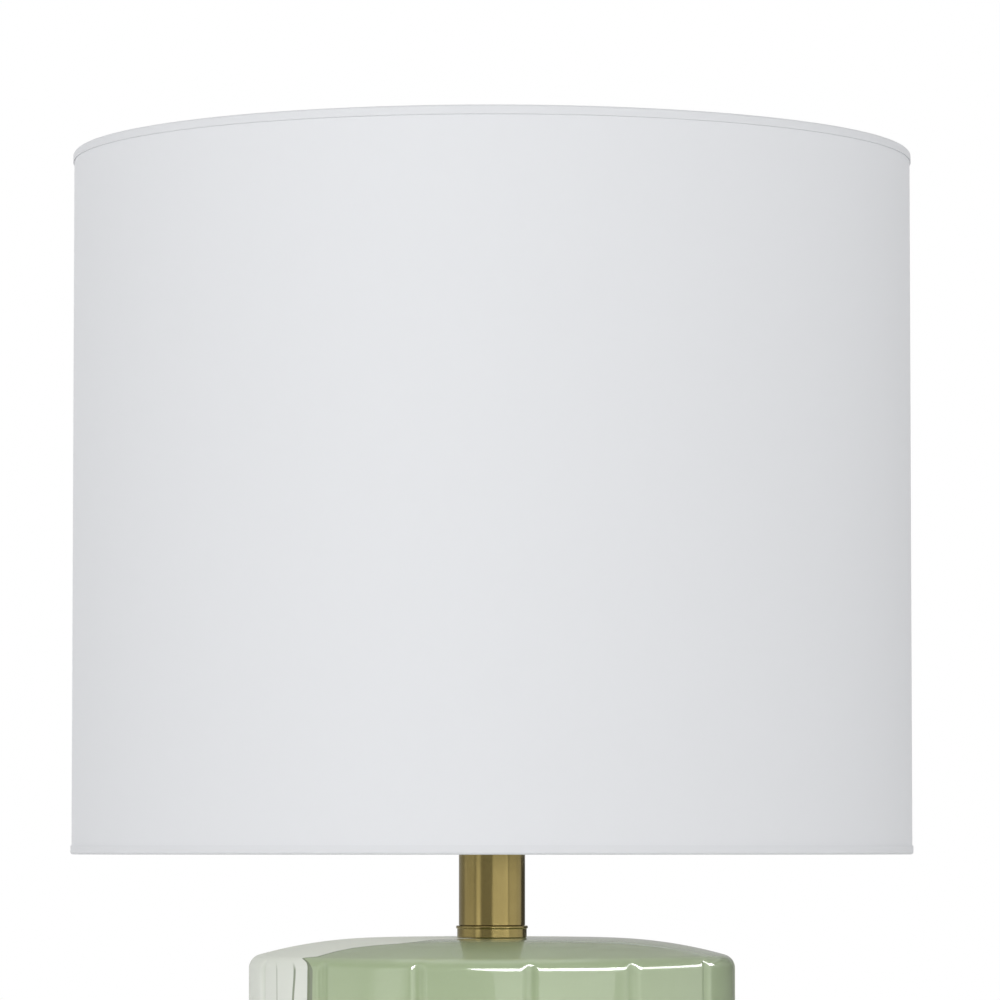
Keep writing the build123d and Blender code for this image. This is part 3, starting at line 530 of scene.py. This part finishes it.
@finish
def aluminium():
    """Thin rolled aluminium."""
    clean, dull = (0.8, 0.8, 0.81, 1), (0.62, 0.62, 0.64, 1)
    return metal("aluminium", clean, dull, 0.22, (260, 260, 2400), 0.003 * MM)


def moulded(name, colour, roughness, coat=0.0):
    """Moulded plastic or a baked coat, with a fine grain."""
    skin = Finish(name, Coat_Weight=coat, Coat_Roughness=0.08)
    grain = skin.noise(skin.place(), 1500, 3.0)
    cloud = skin.noise(skin.place(), 90, 2.0)
    worn = tuple(min(1.0, level * 1.25 + 0.01) for level in colour[:3]) + (1,)
    skin.wear(
        Base_Color=skin.blend(cloud.rise(0.45, 0.85) * 0.4, colour, worn),
        Roughness=roughness + grain * 0.12,
    )
    skin.relief(grain * 0.02 * MM)
    return skin.material


@finish
def black_nylon():
    """Black nylon with a satin moulded grain."""
    return moulded("black_nylon", (0.022, 0.022, 0.024, 1), 0.36)


@finish
def brown_moulding():
    """Dark brown pressed resin."""
    return moulded("brown_moulding", (0.05, 0.026, 0.014, 1), 0.24, 0.2)


@finish
def black_glass():
    """The black fused glass round a bulb's contact."""
    return moulded("black_glass", (0.012, 0.012, 0.014, 1), 0.1, 0.5)


@finish
def enamelled_wire():
    """White enamel on wire."""
    return moulded("enamelled_wire", (0.8, 0.8, 0.78, 1), 0.26, 0.3)


@finish
def pressed_fibre():
    """Brown pressed fibre card."""
    card = Finish("pressed_fibre", Roughness=0.8)
    fibre = card.noise(card.place(), 700, 5.0)
    card.wear(Base_Color=card.blend(fibre.rise(0.3, 0.7), (0.36, 0.24, 0.13, 1), (0.5, 0.37, 0.22, 1)))
    card.relief(fibre * 0.06 * MM)
    return card.material


@finish
def frosted_glass():
    """Glass with a white powder coat inside."""
    glass = Finish("frosted_glass", Coat_Weight=0.25, Coat_Roughness=0.12, Specular_IOR_Level=0.2)
    haze = glass.noise(glass.place(), 45, 2.0)
    glass.wear(
        Base_Color=glass.blend(haze.rise(0.3, 0.8), (0.9, 0.9, 0.88, 1), (0.84, 0.84, 0.83, 1)),
        Roughness=0.3 + haze * 0.08,
    )
    return glass.material


@finish
def shade_lining():
    """The smooth white sheet that stiffens the shade, with faint rolling marks."""
    sheet = Finish("shade_lining", Specular_IOR_Level=0.4)
    place = sheet.place()
    mark = sheet.noise(sheet.stretch(place, (12, 12, 160)), 1.0, 3.0)
    sheet.wear(
        Base_Color=sheet.blend(mark, (0.84, 0.84, 0.83, 1), (0.78, 0.78, 0.77, 1)),
        Roughness=0.42 + mark * 0.1,
    )
    sheet.relief(sheet.noise(place, 1200, 2.0) * 0.01 * MM)
    return sheet.material


def woven(name, white, shadow, pitch, slub):
    """A plain weave on a UV map in metres: threads over and under, with thicker slubs here and there."""
    cloth = Finish(name, Roughness=0.9, Sheen_Weight=0.12, Sheen_Roughness=0.4, Specular_IOR_Level=0.05)
    place = cloth.place("UV")
    along, up, _ = cloth.axes(place)
    uneven = (cloth.noise(cloth.stretch(place, (60, 60, 1)), 1.0, 2.0) - 0.5) * 0.9
    across_threads = (along * (pi / pitch) + uneven).wave()
    up_threads = (up * (pi / pitch) + uneven).wave()
    over = across_threads * up_threads
    weave = over.rise(-0.9, 0.9)
    warp = cloth.noise(cloth.stretch(place, (1 / pitch, 12, 1)), 1.0, 3.0)
    weft = cloth.noise(cloth.stretch(place, (12, 1 / pitch, 1)), 1.0, 3.0)
    slubs = (warp.rise(0.55, 0.8) + weft.rise(0.55, 0.8)) * slub
    cloud = cloth.noise(cloth.stretch(place, (9, 9, 1)), 1.0, 3.0)
    shade = 0.55 - weave * 0.35 + cloud.rise(0.3, 0.8) * 0.2 - slubs * 0.3
    cloth.wear(Base_Color=cloth.blend(shade.rise(0.0, 1.0), white, shadow))
    cloth.relief(weave * 0.05 * MM + slubs * 0.04 * MM)
    return cloth.material


@finish
def white_weave():
    """The shade's fine white cloth."""
    shade = bpy.context.scene.lamp_shade
    return woven("white_weave", shade.white, shade.shadow, shade.thread_pitch, 0.6)


@finish
def hem_weave():
    """The same cloth cut on the bias for the hems, pressed flatter, and a little darker as painted shade
    of the rolled hem.
    """
    shade = bpy.context.scene.lamp_shade
    # The hem's white is a little darker: painted shade of the rolled edge.
    darker = tuple(level * 0.95 for level in shade.white[:3]) + (1,)
    return woven("hem_weave", darker, shade.shadow, shade.thread_pitch * 0.8, 0.3)


@finish
def dark_felt():
    """Dark wool felt with a loose nap."""
    felt = Finish("dark_felt", Roughness=0.95, Sheen_Weight=0.5, Sheen_Roughness=0.4)
    nap = felt.noise(felt.place(), 1400, 6.0)
    tuft = felt.noise(felt.place(), 240, 3.0)
    deep, raised = (0.012, 0.018, 0.014, 1), (0.05, 0.062, 0.052, 1)
    felt.wear(Base_Color=felt.blend(nap * tuft.rise(0.2, 0.8), deep, raised))
    felt.relief(nap * 0.12 * MM + tuft * 0.1 * MM)
    return felt.material


def dress(piece, material):
    """Puts one material on a modelled piece."""
    piece.data.materials.clear()
    piece.data.materials.append(material)


def dress_node(name, material):
    """Puts one material on a piece of the frame."""
    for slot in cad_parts[name].material_slots:
        slot.link = "OBJECT"
        slot.material = material


# ======================= pieces =======================


class LAMP_OT_make_jar(bpy.types.Operator):
    """Turns the jar, presses its grooves and bores the hole for the cord"""

    bl_idname = "jar_lamp.make_jar"
    bl_label = "Make the Jar"

    def execute(self, context):
        jar = context.scene.lamp_jar
        side, foot, crown = reach("jar"), bottom("jar"), top("jar")
        middle = crown - jar.dome_radius
        corner = side - jar.shoulder_round
        lean = asin((corner - jar.crown_radius) / (jar.dome_radius - jar.shoulder_round))
        shoulder = middle + (jar.dome_radius - jar.shoulder_round) * cos(lean)
        floor = foot + jar.floor_rise
        cavity = side - jar.wall
        outline = [
            (jar.crown_hole, crown - jar.wall),
            (jar.crown_hole, crown),
            *[(jar.crown_radius * share, crown) for share in (0.35, 0.55, 0.75, 0.9)],
            *round_corner((jar.crown_radius, middle), jar.dome_radius, 90, 90 - degrees(lean), 26),
            *round_corner((corner, shoulder), jar.shoulder_round, 90 - degrees(lean), 0, 14)[1:],
            *[(side, shoulder + (foot + jar.foot_round - shoulder) * step / 12) for step in range(1, 12)],
            *round_corner((side - jar.foot_round, foot + jar.foot_round), jar.foot_round, 0, -90, 6),
            (side - jar.foot_ring, foot),
            (side - jar.foot_ring, floor),
            (jar.floor_hole, floor),
            (jar.floor_hole, floor + jar.wall),
            (cavity, floor + jar.wall),
            (cavity, shoulder - jar.shoulder_round),
            (jar.crown_radius, crown - jar.wall),
        ]
        first = jar.groove_first - pi / 2
        piece = turn("jar_body", outline, 72 * jar.groove_count, first)
        self.press_grooves(piece, jar, side, first)
        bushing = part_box("cord_bushing")
        cord_level = (bushing[0][2] + bushing[1][2]) / 2
        cut_round_hole(piece, jar.cord_hole, 4 * jar.wall, (0, side, cord_level), (pi / 2, 0, 0))
        smooth(piece)
        dress(piece, two_glazes())
        stands_for(piece, "lamp_body", "glaze", "jar")
        return {"FINISHED"}

    def press_grooves(self, piece, jar, side, first):
        """Presses upright grooves into the side, which run out on the shoulder by themselves."""
        groove_radius = (jar.groove_width**2 / 4 + jar.groove_depth**2) / (2 * jar.groove_depth)
        spacing = 2 * pi / jar.groove_count
        for vertex in piece.data.vertices:
            place = vertex.co
            radius = hypot(place.x, place.y)
            if radius < side - jar.groove_depth - 3 * jar.groove_melt:
                continue
            across = abs(side * sin(remainder(atan2(place.y, place.x) - first, spacing)))
            if across < groove_radius * 0.9:
                bed = side + groove_radius - jar.groove_depth - sqrt(groove_radius**2 - across**2)
            else:
                bed = side + across - groove_radius * 0.9 + groove_radius * 0.2
            # The smooth lesser of the turned outline and the groove, as a melted glaze has it.
            melt = jar.groove_melt
            pressed = -melt * log(exp(-(radius - side) / melt) + exp(-(bed - side) / melt)) + side
            pressed = min(radius, pressed)
            place.x, place.y = place.x * pressed / radius, place.y * pressed / radius


class LAMP_OT_make_foot(bpy.types.Operator):
    """Cuts the felt pad under the jar"""

    bl_idname = "jar_lamp.make_foot"
    bl_label = "Make the Felt Foot"

    def execute(self, context):
        edge, low, high = reach("felt_pad"), bottom("felt_pad"), top("felt_pad")
        outline = [
            (0, high),
            (edge * 0.5, high),
            (edge - 0.5 * MM, high),
            (edge, high - 0.4 * MM),
            (edge, low + 0.6 * MM),
            (edge - 0.6 * MM, low),
            (edge * 0.5, low),
            (0, low),
        ]
        piece = turn("felt_foot", outline, 180)
        dress(piece, dark_felt())
        stands_for(piece, "lamp_body", "felt", "felt_pad")
        return {"FINISHED"}


class LAMP_OT_make_neck(bpy.types.Operator):
    """Turns the seat ring, the neck tube and its cap"""

    bl_idname = "jar_lamp.make_neck"
    bl_label = "Make the Neck"

    def execute(self, context):
        neck = context.scene.lamp_neck
        outer, low, high = reach("neck_tube"), bottom("neck_tube"), top("neck_tube")
        inner = outer - neck.wall
        edge = 0.25 * MM
        tube = [
            (inner, low),
            (outer - edge, low),
            (outer, low + edge),
            *[(outer, low + (high - low) * share) for share in (0.25, 0.5, 0.75)],
            *round_corner((outer - edge, high - edge), edge, 0, 90, 3),
            (inner, high),
        ]
        piece = turn("neck_barrel", tube, 160)
        dress(piece, long_brass())
        stands_for(piece, "lamp_body", "brass", "neck_tube")

        lip, ring_low, ring_top = reach("seat_ring"), bottom("seat_ring"), top("seat_ring")
        band, step = lip - neck.lip_reach, inner - 0.05 * MM
        curve = neck.lip / 3
        ring = [
            (neck.bore, ring_low),
            (band - edge, ring_low),
            (band, ring_low + edge),
            (band, low - neck.lip - edge / 2),
            (band + edge / 2, low - neck.lip),
            *round_corner((lip - curve, low - neck.lip + curve), curve, -90, 0, 4),
            *round_corner((lip - curve, low - curve), curve, 0, 90, 4),
            (step, low),
            (step, ring_top),
            (neck.bore, ring_top),
        ]
        piece = turn("neck_seat", ring, 160)
        dress(piece, turned_brass())
        stands_for(piece, "lamp_body", "brass", "seat_ring")

        brim, cap_low, cap_top = reach("neck_cap"), bottom("neck_cap"), top("neck_cap")
        curve = (cap_top - high) / 3
        cap = [
            (neck.bore, cap_low),
            (step, cap_low),
            (step, high),
            (brim - edge, high),
            (brim, high + edge),
            *round_corner((brim - curve, cap_top - curve), curve, 0, 90, 5),
            (neck.bore, cap_top),
        ]
        piece = turn("neck_brim", cap, 160)
        dress(piece, turned_brass())
        stands_for(piece, "lamp_body", "brass", "neck_cap")
        return {"FINISHED"}


# The stiff sheet's thickness, the rim wire's thickness, and the gap between wire and hem.
LINER, RING_WIRE, RING_GAP = 0.8 * MM, 3 * MM, 0.1 * MM
# How far the seam's lap stands off the cloth at its edges.
SEAM_GAP = 0.02 * MM


class LAMP_OT_make_shade(bpy.types.Operator):
    """Wraps the shade's cloth, sews its seam and rolls its hems"""

    bl_idname = "jar_lamp.make_shade"
    bl_label = "Make the Shade"

    def execute(self, context):
        shade = context.scene.lamp_shade
        wall = reach("shade_cloth")
        low, high = bottom("shade_cloth"), top("shade_cloth")
        levels = [low + (high - low) * step / 24 for step in range(25)]
        cloth = turn(
            "shade_fabric",
            [(wall, level) for level in levels]
            + [(wall - shade.cloth_thickness, level) for level in levels[::-1]],
            240,
            pi / 2,
        )
        map_wrap(cloth)
        dress(cloth, white_weave())
        stands_for(cloth, "shade", "shade_cloth", "shade_cloth")
        self.make_seam(shade, wall, low, high)
        for node, name in (("top_hem", "hem_above"), ("bottom_hem", "hem_below")):
            self.roll_hem(shade, node, name)
        return {"FINISHED"}

    def make_seam(self, shade, wall, low, high):
        """Lays the folded lap of the cloth's two ends up the back."""
        half = shade.lap / 2 / wall
        rise = reach("top_hem") - wall - SEAM_GAP
        margin = shade.hem_height
        bpy.ops.object.select_all(action="DESELECT")
        bpy.ops.mesh.primitive_grid_add(x_subdivisions=16, y_subdivisions=24, size=1, location=(0, 0, 0))
        piece = bpy.context.object
        piece.name = piece.data.name = "shade_seam"
        for vertex in piece.data.vertices:
            side, level = vertex.co.x * 2, vertex.co.y + 0.5
            fold = rise * min(1, (1 - abs(side)) * 5) ** 0.5
            turned = pi / 2 + side * half
            radius = wall + SEAM_GAP + fold * 0.85
            vertex.co = (
                radius * cos(turned),
                radius * sin(turned),
                low + margin + (high - low - 2 * margin) * level,
            )
        start_editing(piece)
        bpy.ops.mesh.normals_make_consistent(inside=False)
        bpy.ops.object.mode_set(mode="OBJECT")
        if piece.data.polygons[0].normal.y < 0:
            piece.data.flip_normals()
        smooth(piece, 80)
        map_wrap(piece)
        dress(piece, white_weave())
        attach(piece, "shade")

    def roll_hem(self, shade, node, name):
        """Rolls a strip of cloth over a wire ring at a rim of the shade."""
        outer = reach(node)
        low, high = bottom(node), top(node)
        inner = reach("shade_liner") - LINER - RING_WIRE - RING_GAP - shade.hem_thickness
        rim, way = (high, -1) if node == "top_hem" else (low, 1)
        curve, cloth = 1.0 * MM, shade.hem_thickness
        outside = [
            (outer, rim + way * shade.hem_height),
            *self.roll((outer - curve, rim + way * curve), curve, 0, way),
            *self.roll((inner + curve, rim + way * curve), curve, 90, way),
            (inner, rim + way * shade.hem_tuck),
        ]
        lining = [
            (inner + cloth, rim + way * shade.hem_tuck),
            *self.roll((inner + curve, rim + way * curve), curve - cloth, 90, way)[::-1],
            *self.roll((outer - curve, rim + way * curve), curve - cloth, 0, way)[::-1],
            (outer - cloth, rim + way * shade.hem_height),
        ]
        piece = turn(name, outside + lining, 240, pi / 2)
        map_wrap(piece)
        dress(piece, hem_weave())
        stands_for(piece, "shade", "shade_cloth", node)

    def roll(self, centre, radius, start, way):
        """A quarter turn of the hem, which starts on the outward side or at the rim."""
        return round_corner(centre, radius, -way * start, -way * (start + 90), 5)


class LAMP_OT_make_bulb(bpy.types.Operator):
    """Blows the bulb's glass and rolls its screw cap and the socket's screw shell"""

    bl_idname = "jar_lamp.make_bulb"
    bl_label = "Make the Bulb"

    def execute(self, context):
        ball, low, high = reach("bulb_glass"), bottom("bulb_glass"), top("bulb_glass")
        neck, straight, glass = 12.3 * MM, 8 * MM, 1 * MM
        middle, waist = high - ball, low + straight
        bend = 2 * atan2(ball - neck, middle - waist)
        swell = (middle - waist) / sin(bend) - ball
        swell_middle = (neck + swell, waist)
        outside = [
            (neck, low),
            *round_corner(swell_middle, swell, 180, 180 - degrees(bend), 18),
            *round_corner((0, middle), ball, -degrees(bend), 90, 30)[1:],
        ]
        inside = [
            (0, high - glass),
            *round_corner((0, middle), ball - glass, 90, -degrees(bend), 12)[1:],
            (neck - glass, waist),
            (neck - glass, low),
        ]
        piece = turn("bulb_envelope", outside + inside, 96)
        dress(piece, frosted_glass())
        stands_for(piece, "bulb", "bulb_glass", "bulb_glass")

        outer, cap_low, cap_top = reach("bulb_cap"), bottom("bulb_cap"), top("bulb_cap")
        lip, wall = 1.2 * MM, 0.6 * MM
        rings = [cap_low + lip + (cap_top - cap_low - lip) * step / 44 for step in range(45)]
        cap = [
            (11.85 * MM, cap_low),
            *[(outer, level) for level in rings],
            *[(outer - wall, level) for level in rings[::-1]],
            (11.85 * MM, cap_low + lip / 2),
        ]
        piece = turn("bulb_screw", cap, 96)
        cut_thread(piece, cap_low + lip, cap_top - 3.5 * MM, 0.55 * MM, 3.63 * MM)
        smooth(piece, 60)
        dress(piece, aluminium())
        stands_for(piece, "bulb", "aluminium", "bulb_cap")

        outer, shell_low, shell_top = reach("screw_shell"), bottom("screw_shell"), top("screw_shell")
        wall = 0.5 * MM
        rings = [shell_low + wall + (shell_top - shell_low - wall) * step / 44 for step in range(45)]
        shell = [
            (6 * MM, shell_low),
            (outer, shell_low),
            *[(outer, level) for level in rings],
            *[(outer - wall, level) for level in rings[::-1]],
            (6 * MM, shell_low + wall),
        ]
        piece = turn("socket_screw", shell, 96)
        cut_thread(piece, shell_low + 2 * MM, shell_top - 1 * MM, 0.5 * MM, 3.63 * MM, inward=False)
        smooth(piece, 60)
        dress(piece, aluminium())
        stands_for(piece, "lamp_body", "aluminium", "screw_shell")
        return {"FINISHED"}


class LAMP_OT_make_finial(bpy.types.Operator):
    """Turns the finial"""

    bl_idname = "jar_lamp.make_finial"
    bl_label = "Make the Finial"

    def execute(self, context):
        base, low, high = reach("finial"), bottom("finial"), top("finial")
        ball, waist, plinth = 7.0 * MM, 4.4 * MM, 3.0 * MM
        middle = high - ball
        pinch = degrees(asin((middle - low - plinth - 3.2 * MM) / ball))
        outline = [
            (3.2 * MM, low),
            (base - 0.3 * MM, low),
            *round_corner((base - 0.5 * MM, low + 0.7 * MM), 0.5 * MM, -30, 60, 5),
            *round_corner((base, low + plinth + 0.6 * MM), 2.2 * MM, 220, 180, 6),
            (waist, low + plinth + 2.6 * MM),
            *round_corner((0, middle), ball, -pinch + 4, 90, 24),
            (0, low + 13 * MM),
            (3.2 * MM, low + 13 * MM),
        ]
        piece = turn("finial_knob", outline, 96)
        dress(piece, turned_brass())
        stands_for(piece, "finial", "brass", "finial")
        return {"FINISHED"}


NODE_FINISHES = {
    "cord_bushing": black_nylon,
    "switch_knob": black_nylon,
    "threaded_rod": zinc,
    "base_plate": zinc,
    "base_washer": zinc,
    "base_nut": zinc,
    "lock_washer": zinc,
    "set_screw": zinc,
    "terminal_screws": zinc,
    "harp_saddle": bright_brass,
    "harp_wire": bright_brass,
    "ferrule_left": bright_brass,
    "ferrule_right": bright_brass,
    "harp_stud": bright_brass,
    "socket_cap": bright_brass,
    "socket_shell": bright_brass,
    "centre_contact": bright_brass,
    "switch_shaft": bright_brass,
    "socket_sleeve": pressed_fibre,
    "switch_body": brown_moulding,
    "bulb_insulator": black_glass,
    "bulb_tip": aluminium,
    "shade_liner": shade_lining,
    "shade_spider": enamelled_wire,
    "bottom_ring": enamelled_wire,
}


class LAMP_OT_finish_hardware(bpy.types.Operator):
    """Gives each piece that the frame brings its finish"""

    bl_idname = "jar_lamp.finish_hardware"
    bl_label = "Finish the Hardware"

    def execute(self, context):
        for name, make in NODE_FINISHES.items():
            dress_node(name, make())
        return {"FINISHED"}


# ======================= stage =======================


class LAMP_OT_set_stage(bpy.types.Operator):
    """Lays the floor and sets the camera and the lights"""

    bl_idname = "jar_lamp.set_stage"
    bl_label = "Set the Stage"

    def execute(self, context):
        stage = context.scene.lamp_stage
        context.scene.view_settings.view_transform = "Standard"
        self.lay_floor(stage)
        self.stand_surround(stage)
        self.light_world(context.scene, stage)
        self.hang_lights(stage)
        bpy.ops.object.camera_add(
            location=(0, -stage.camera_distance, stage.camera_height),
            rotation=(pi / 2 + stage.camera_pitch, 0, -stage.camera_turn),
        )
        camera = context.object
        camera.name = "camera"
        camera.data.lens = stage.camera_lens
        camera.data.clip_end = 100
        context.scene.camera = camera
        return {"FINISHED"}

    def lay_floor(self, stage):
        """A plain pale floor that keeps the lamp's shadow."""
        bpy.ops.mesh.primitive_circle_add(
            vertices=128, radius=stage.floor_size / 2, fill_type="NGON", location=(0, 0, -0.0002)
        )
        floor = bpy.context.object
        floor.name = "floor"
        paper = Finish("floor_paper", Roughness=0.9, Specular_IOR_Level=0.1)
        fibres = paper.noise(paper.place(), 3)
        paper.wear(Base_Color=paper.blend(fibres, (0.86, 0.86, 0.86, 1), (0.84, 0.84, 0.84, 1)))
        glow = paper.nodes.new("ShaderNodeEmission")
        mix = paper.nodes.new("ShaderNodeMixShader")
        output = next(node for node in paper.nodes if node.type == "OUTPUT_MATERIAL")
        seen = self.seen(paper)
        paper.set(mix.inputs[0], seen * stage.floor_light)
        paper.links.new(paper.shader.outputs[0], mix.inputs[1])
        paper.links.new(glow.outputs[0], mix.inputs[2])
        paper.links.new(mix.outputs[0], output.inputs[0])
        paper.material.cycles.emission_sampling = "NONE"
        dress(floor, paper.material)

    def seen(self, tree):
        """1 for a ray that shows the background: from the camera, a reflection or glass."""
        rays = [tree.node("ShaderNodeLightPath", output=ray) for ray in RAYS]
        return rays[0].larger(rays[1]).larger(rays[2])

    def stand_surround(self, stage):
        """A grey wall that only reflections see, with lighter and darker panels for the brass."""
        bpy.ops.mesh.primitive_cylinder_add(
            vertices=96,
            radius=stage.surround_radius,
            depth=stage.surround_height,
            location=(0, 0, stage.surround_height / 2),
            end_fill_type="NOTHING",
        )
        wall = bpy.context.object
        bpy.ops.object.transform_apply(location=True, rotation=False, scale=False)
        wall.name = "surround"
        grey = Finish("surround_grey", Base_Color=(0, 0, 0, 1), Specular_IOR_Level=0.0)
        x, y, _ = grey.axes(grey.place())
        bearing = grey.node("ShaderNodeMath", {"operation": "ARCTAN2"}, {0: x, 1: y * -1}) * (180 / pi)
        level = SURROUND_LEVEL
        for low, high, soft, brightness in PANELS:
            panel = bearing.rise(low - soft, low + soft) * bearing.rise(high + soft, high - soft)
            level = panel * brightness + level
        grey.wear(Emission_Color=grey.blend(level, STAGE_DARK, STAGE_WHITE))
        grey.set(grey.shader.inputs["Emission Strength"], SURROUND_STRENGTH)
        grey.material.cycles.emission_sampling = "NONE"
        dress(wall, grey.material)
        wall.visible_camera = wall.visible_diffuse = False
        wall.visible_transmission = wall.visible_shadow = False

    def light_world(self, scene, stage):
        """White behind the lamp, and a soft plain light from all round."""
        world = bpy.data.worlds.new("studio")
        world.use_nodes = True
        world.cycles.sampling_method = "NONE"
        scene.world = world
        nodes, links = world.node_tree.nodes, world.node_tree.links
        soft = next(node for node in nodes if node.type == "BACKGROUND")
        soft.inputs[0].default_value = (1, 1, 1, 1)
        soft.inputs[1].default_value = stage.world_light
        white = nodes.new("ShaderNodeBackground")
        white.inputs[0].default_value = (1, 1, 1, 1)
        mix = nodes.new("ShaderNodeMixShader")
        path = nodes.new("ShaderNodeLightPath")
        share = None
        for ray in RAYS:
            add = nodes.new("ShaderNodeMath")
            add.operation = "MAXIMUM"
            add.inputs[1].default_value = 0
            links.new(path.outputs[ray], add.inputs[0])
            if share:
                links.new(share, add.inputs[1])
            share = add.outputs[0]
        links.new(share, mix.inputs[0])
        links.new(soft.outputs[0], mix.inputs[1])
        links.new(white.outputs[0], mix.inputs[2])
        output = next(node for node in nodes if node.type == "OUTPUT_WORLD")
        links.new(mix.outputs[0], output.inputs[0])

    def hang_lights(self, stage):
        """Lights for what is matt, lights that only gloss mirrors, and one under the shade."""
        middle = Vector((0, 0, (bottom("bottom_hem") + bottom("neck_tube")) / 2))
        glazed = bpy.data.collections.new("glazed")
        glazed.objects.link(bpy.data.objects["jar_body"])
        for name, bearing, height, width, tall, brightness, for_gloss in LIGHTS:
            bearing, height = radians(bearing), radians(height)
            away = Vector((sin(bearing) * cos(height), -cos(bearing) * cos(height), sin(height)))
            distance = stage.gloss_distance if for_gloss else stage.light_distance
            bpy.ops.object.light_add(type="AREA", location=middle + away * distance)
            light = bpy.context.object
            light.name = name
            light.rotation_euler = away.to_track_quat("Z", "Y").to_euler()
            light.data.shape = "RECTANGLE"
            light.data.size, light.data.size_y = width, tall
            light.data.energy = pi * width * tall * brightness
            light.visible_camera = False
            light.visible_diffuse = not for_gloss
            light.visible_glossy = for_gloss
            if brightness > GLAZE_ONLY_ABOVE:
                light.light_linking.receiver_collection = glazed
        bpy.ops.object.light_add(type="AREA", location=(0, 0, bottom("bottom_hem") + 8 * MM))
        under = bpy.context.object
        under.name = "glow_under_shade"
        under.data.shape = "DISK"
        under.data.size = stage.glow_width
        under.data.energy = pi * stage.glow_width**2 * stage.glow
        under.visible_camera = under.visible_glossy = False


RAYS = ("Is Camera Ray", "Is Glossy Ray", "Is Transmission Ray")
# How bright the surround is where its level is 1, and its level between the panels.
SURROUND_STRENGTH, SURROUND_LEVEL = 2.5, 0.17

# Only the jar's glaze mirrors a light that is brighter than this.
GLAZE_ONLY_ABOVE = 4.0
STAGE_DARK = (0.0, 0.0, 0.0, 1)
STAGE_WHITE = (1.0, 1.0, 0.98, 1)

# Each panel of the surround: the bearings in degrees where it starts and ends, how soft its edges
# are, and how much it adds to the level.
PANELS = (
    (-110, -62, 8, 0.16),
    (-56, -40, 5, 0.36),
    (46, 95, 10, 0.08),
    (118, 165, 10, -0.13),
)

# Each light: its bearing from the front and height in degrees, its width and height in metres, its
# brightness, where white paper is 1, and whether it is for what is glossy.
LIGHTS = (
    ("softbox_right", 28, 12, 6.0, 4.0, 1.62, False),
    ("softbox_left", -64, 10, 3.5, 3.5, 2.1, False),
    ("softbox_back", 180, 20, 6.0, 4.0, 1.15, False),
    ("gloss_right", 29.7, 16, 2.44, 2.1, 0.85, True),
    ("gloss_edge", 93, 12, 2.1, 1.9, 0.4, True),
    ("gloss_core", 31, 33, 2.4, 1.35, 14.0, True),
    ("gloss_side", 100, 30, 2.1, 0.9, 8.0, True),
)


# ======================= sidebar =======================

SETTINGS = {
    "lamp_jar": JarSettings,
    "lamp_neck": NeckSettings,
    "lamp_shade": ShadeSettings,
    "lamp_stage": StageSettings,
}

STEPS = (
    LAMP_OT_make_jar,
    LAMP_OT_make_foot,
    LAMP_OT_make_neck,
    LAMP_OT_make_shade,
    LAMP_OT_make_bulb,
    LAMP_OT_make_finial,
    LAMP_OT_finish_hardware,
    LAMP_OT_set_stage,
)


class VIEW3D_PT_jar_lamp(bpy.types.Panel):
    """Lists the lamp's settings and the steps that make it"""

    bl_label = "Jar Lamp"
    bl_space_type = "VIEW_3D"
    bl_region_type = "UI"
    bl_category = "Jar Lamp"

    def draw(self, context):
        for name in SETTINGS:
            group = getattr(context.scene, name)
            box = self.layout.box()
            for setting in group.__annotations__:
                box.prop(group, setting)
        for step in STEPS:
            self.layout.operator(step.bl_idname)


def register():
    for group in SETTINGS.values():
        bpy.utils.register_class(group)
    for step in STEPS:
        bpy.utils.register_class(step)
    bpy.utils.register_class(VIEW3D_PT_jar_lamp)
    for name, group in SETTINGS.items():
        setattr(bpy.types.Scene, name, PointerProperty(type=group))


def unregister():
    for name in SETTINGS:
        delattr(bpy.types.Scene, name)
    for step in (VIEW3D_PT_jar_lamp, *reversed(STEPS), *SETTINGS.values()):
        bpy.utils.unregister_class(step)


def main():
    register()
    for step in STEPS:
        group, name = step.bl_idname.split(".")
        getattr(getattr(bpy.ops, group), name)()


if __name__ == "__main__":
    main()
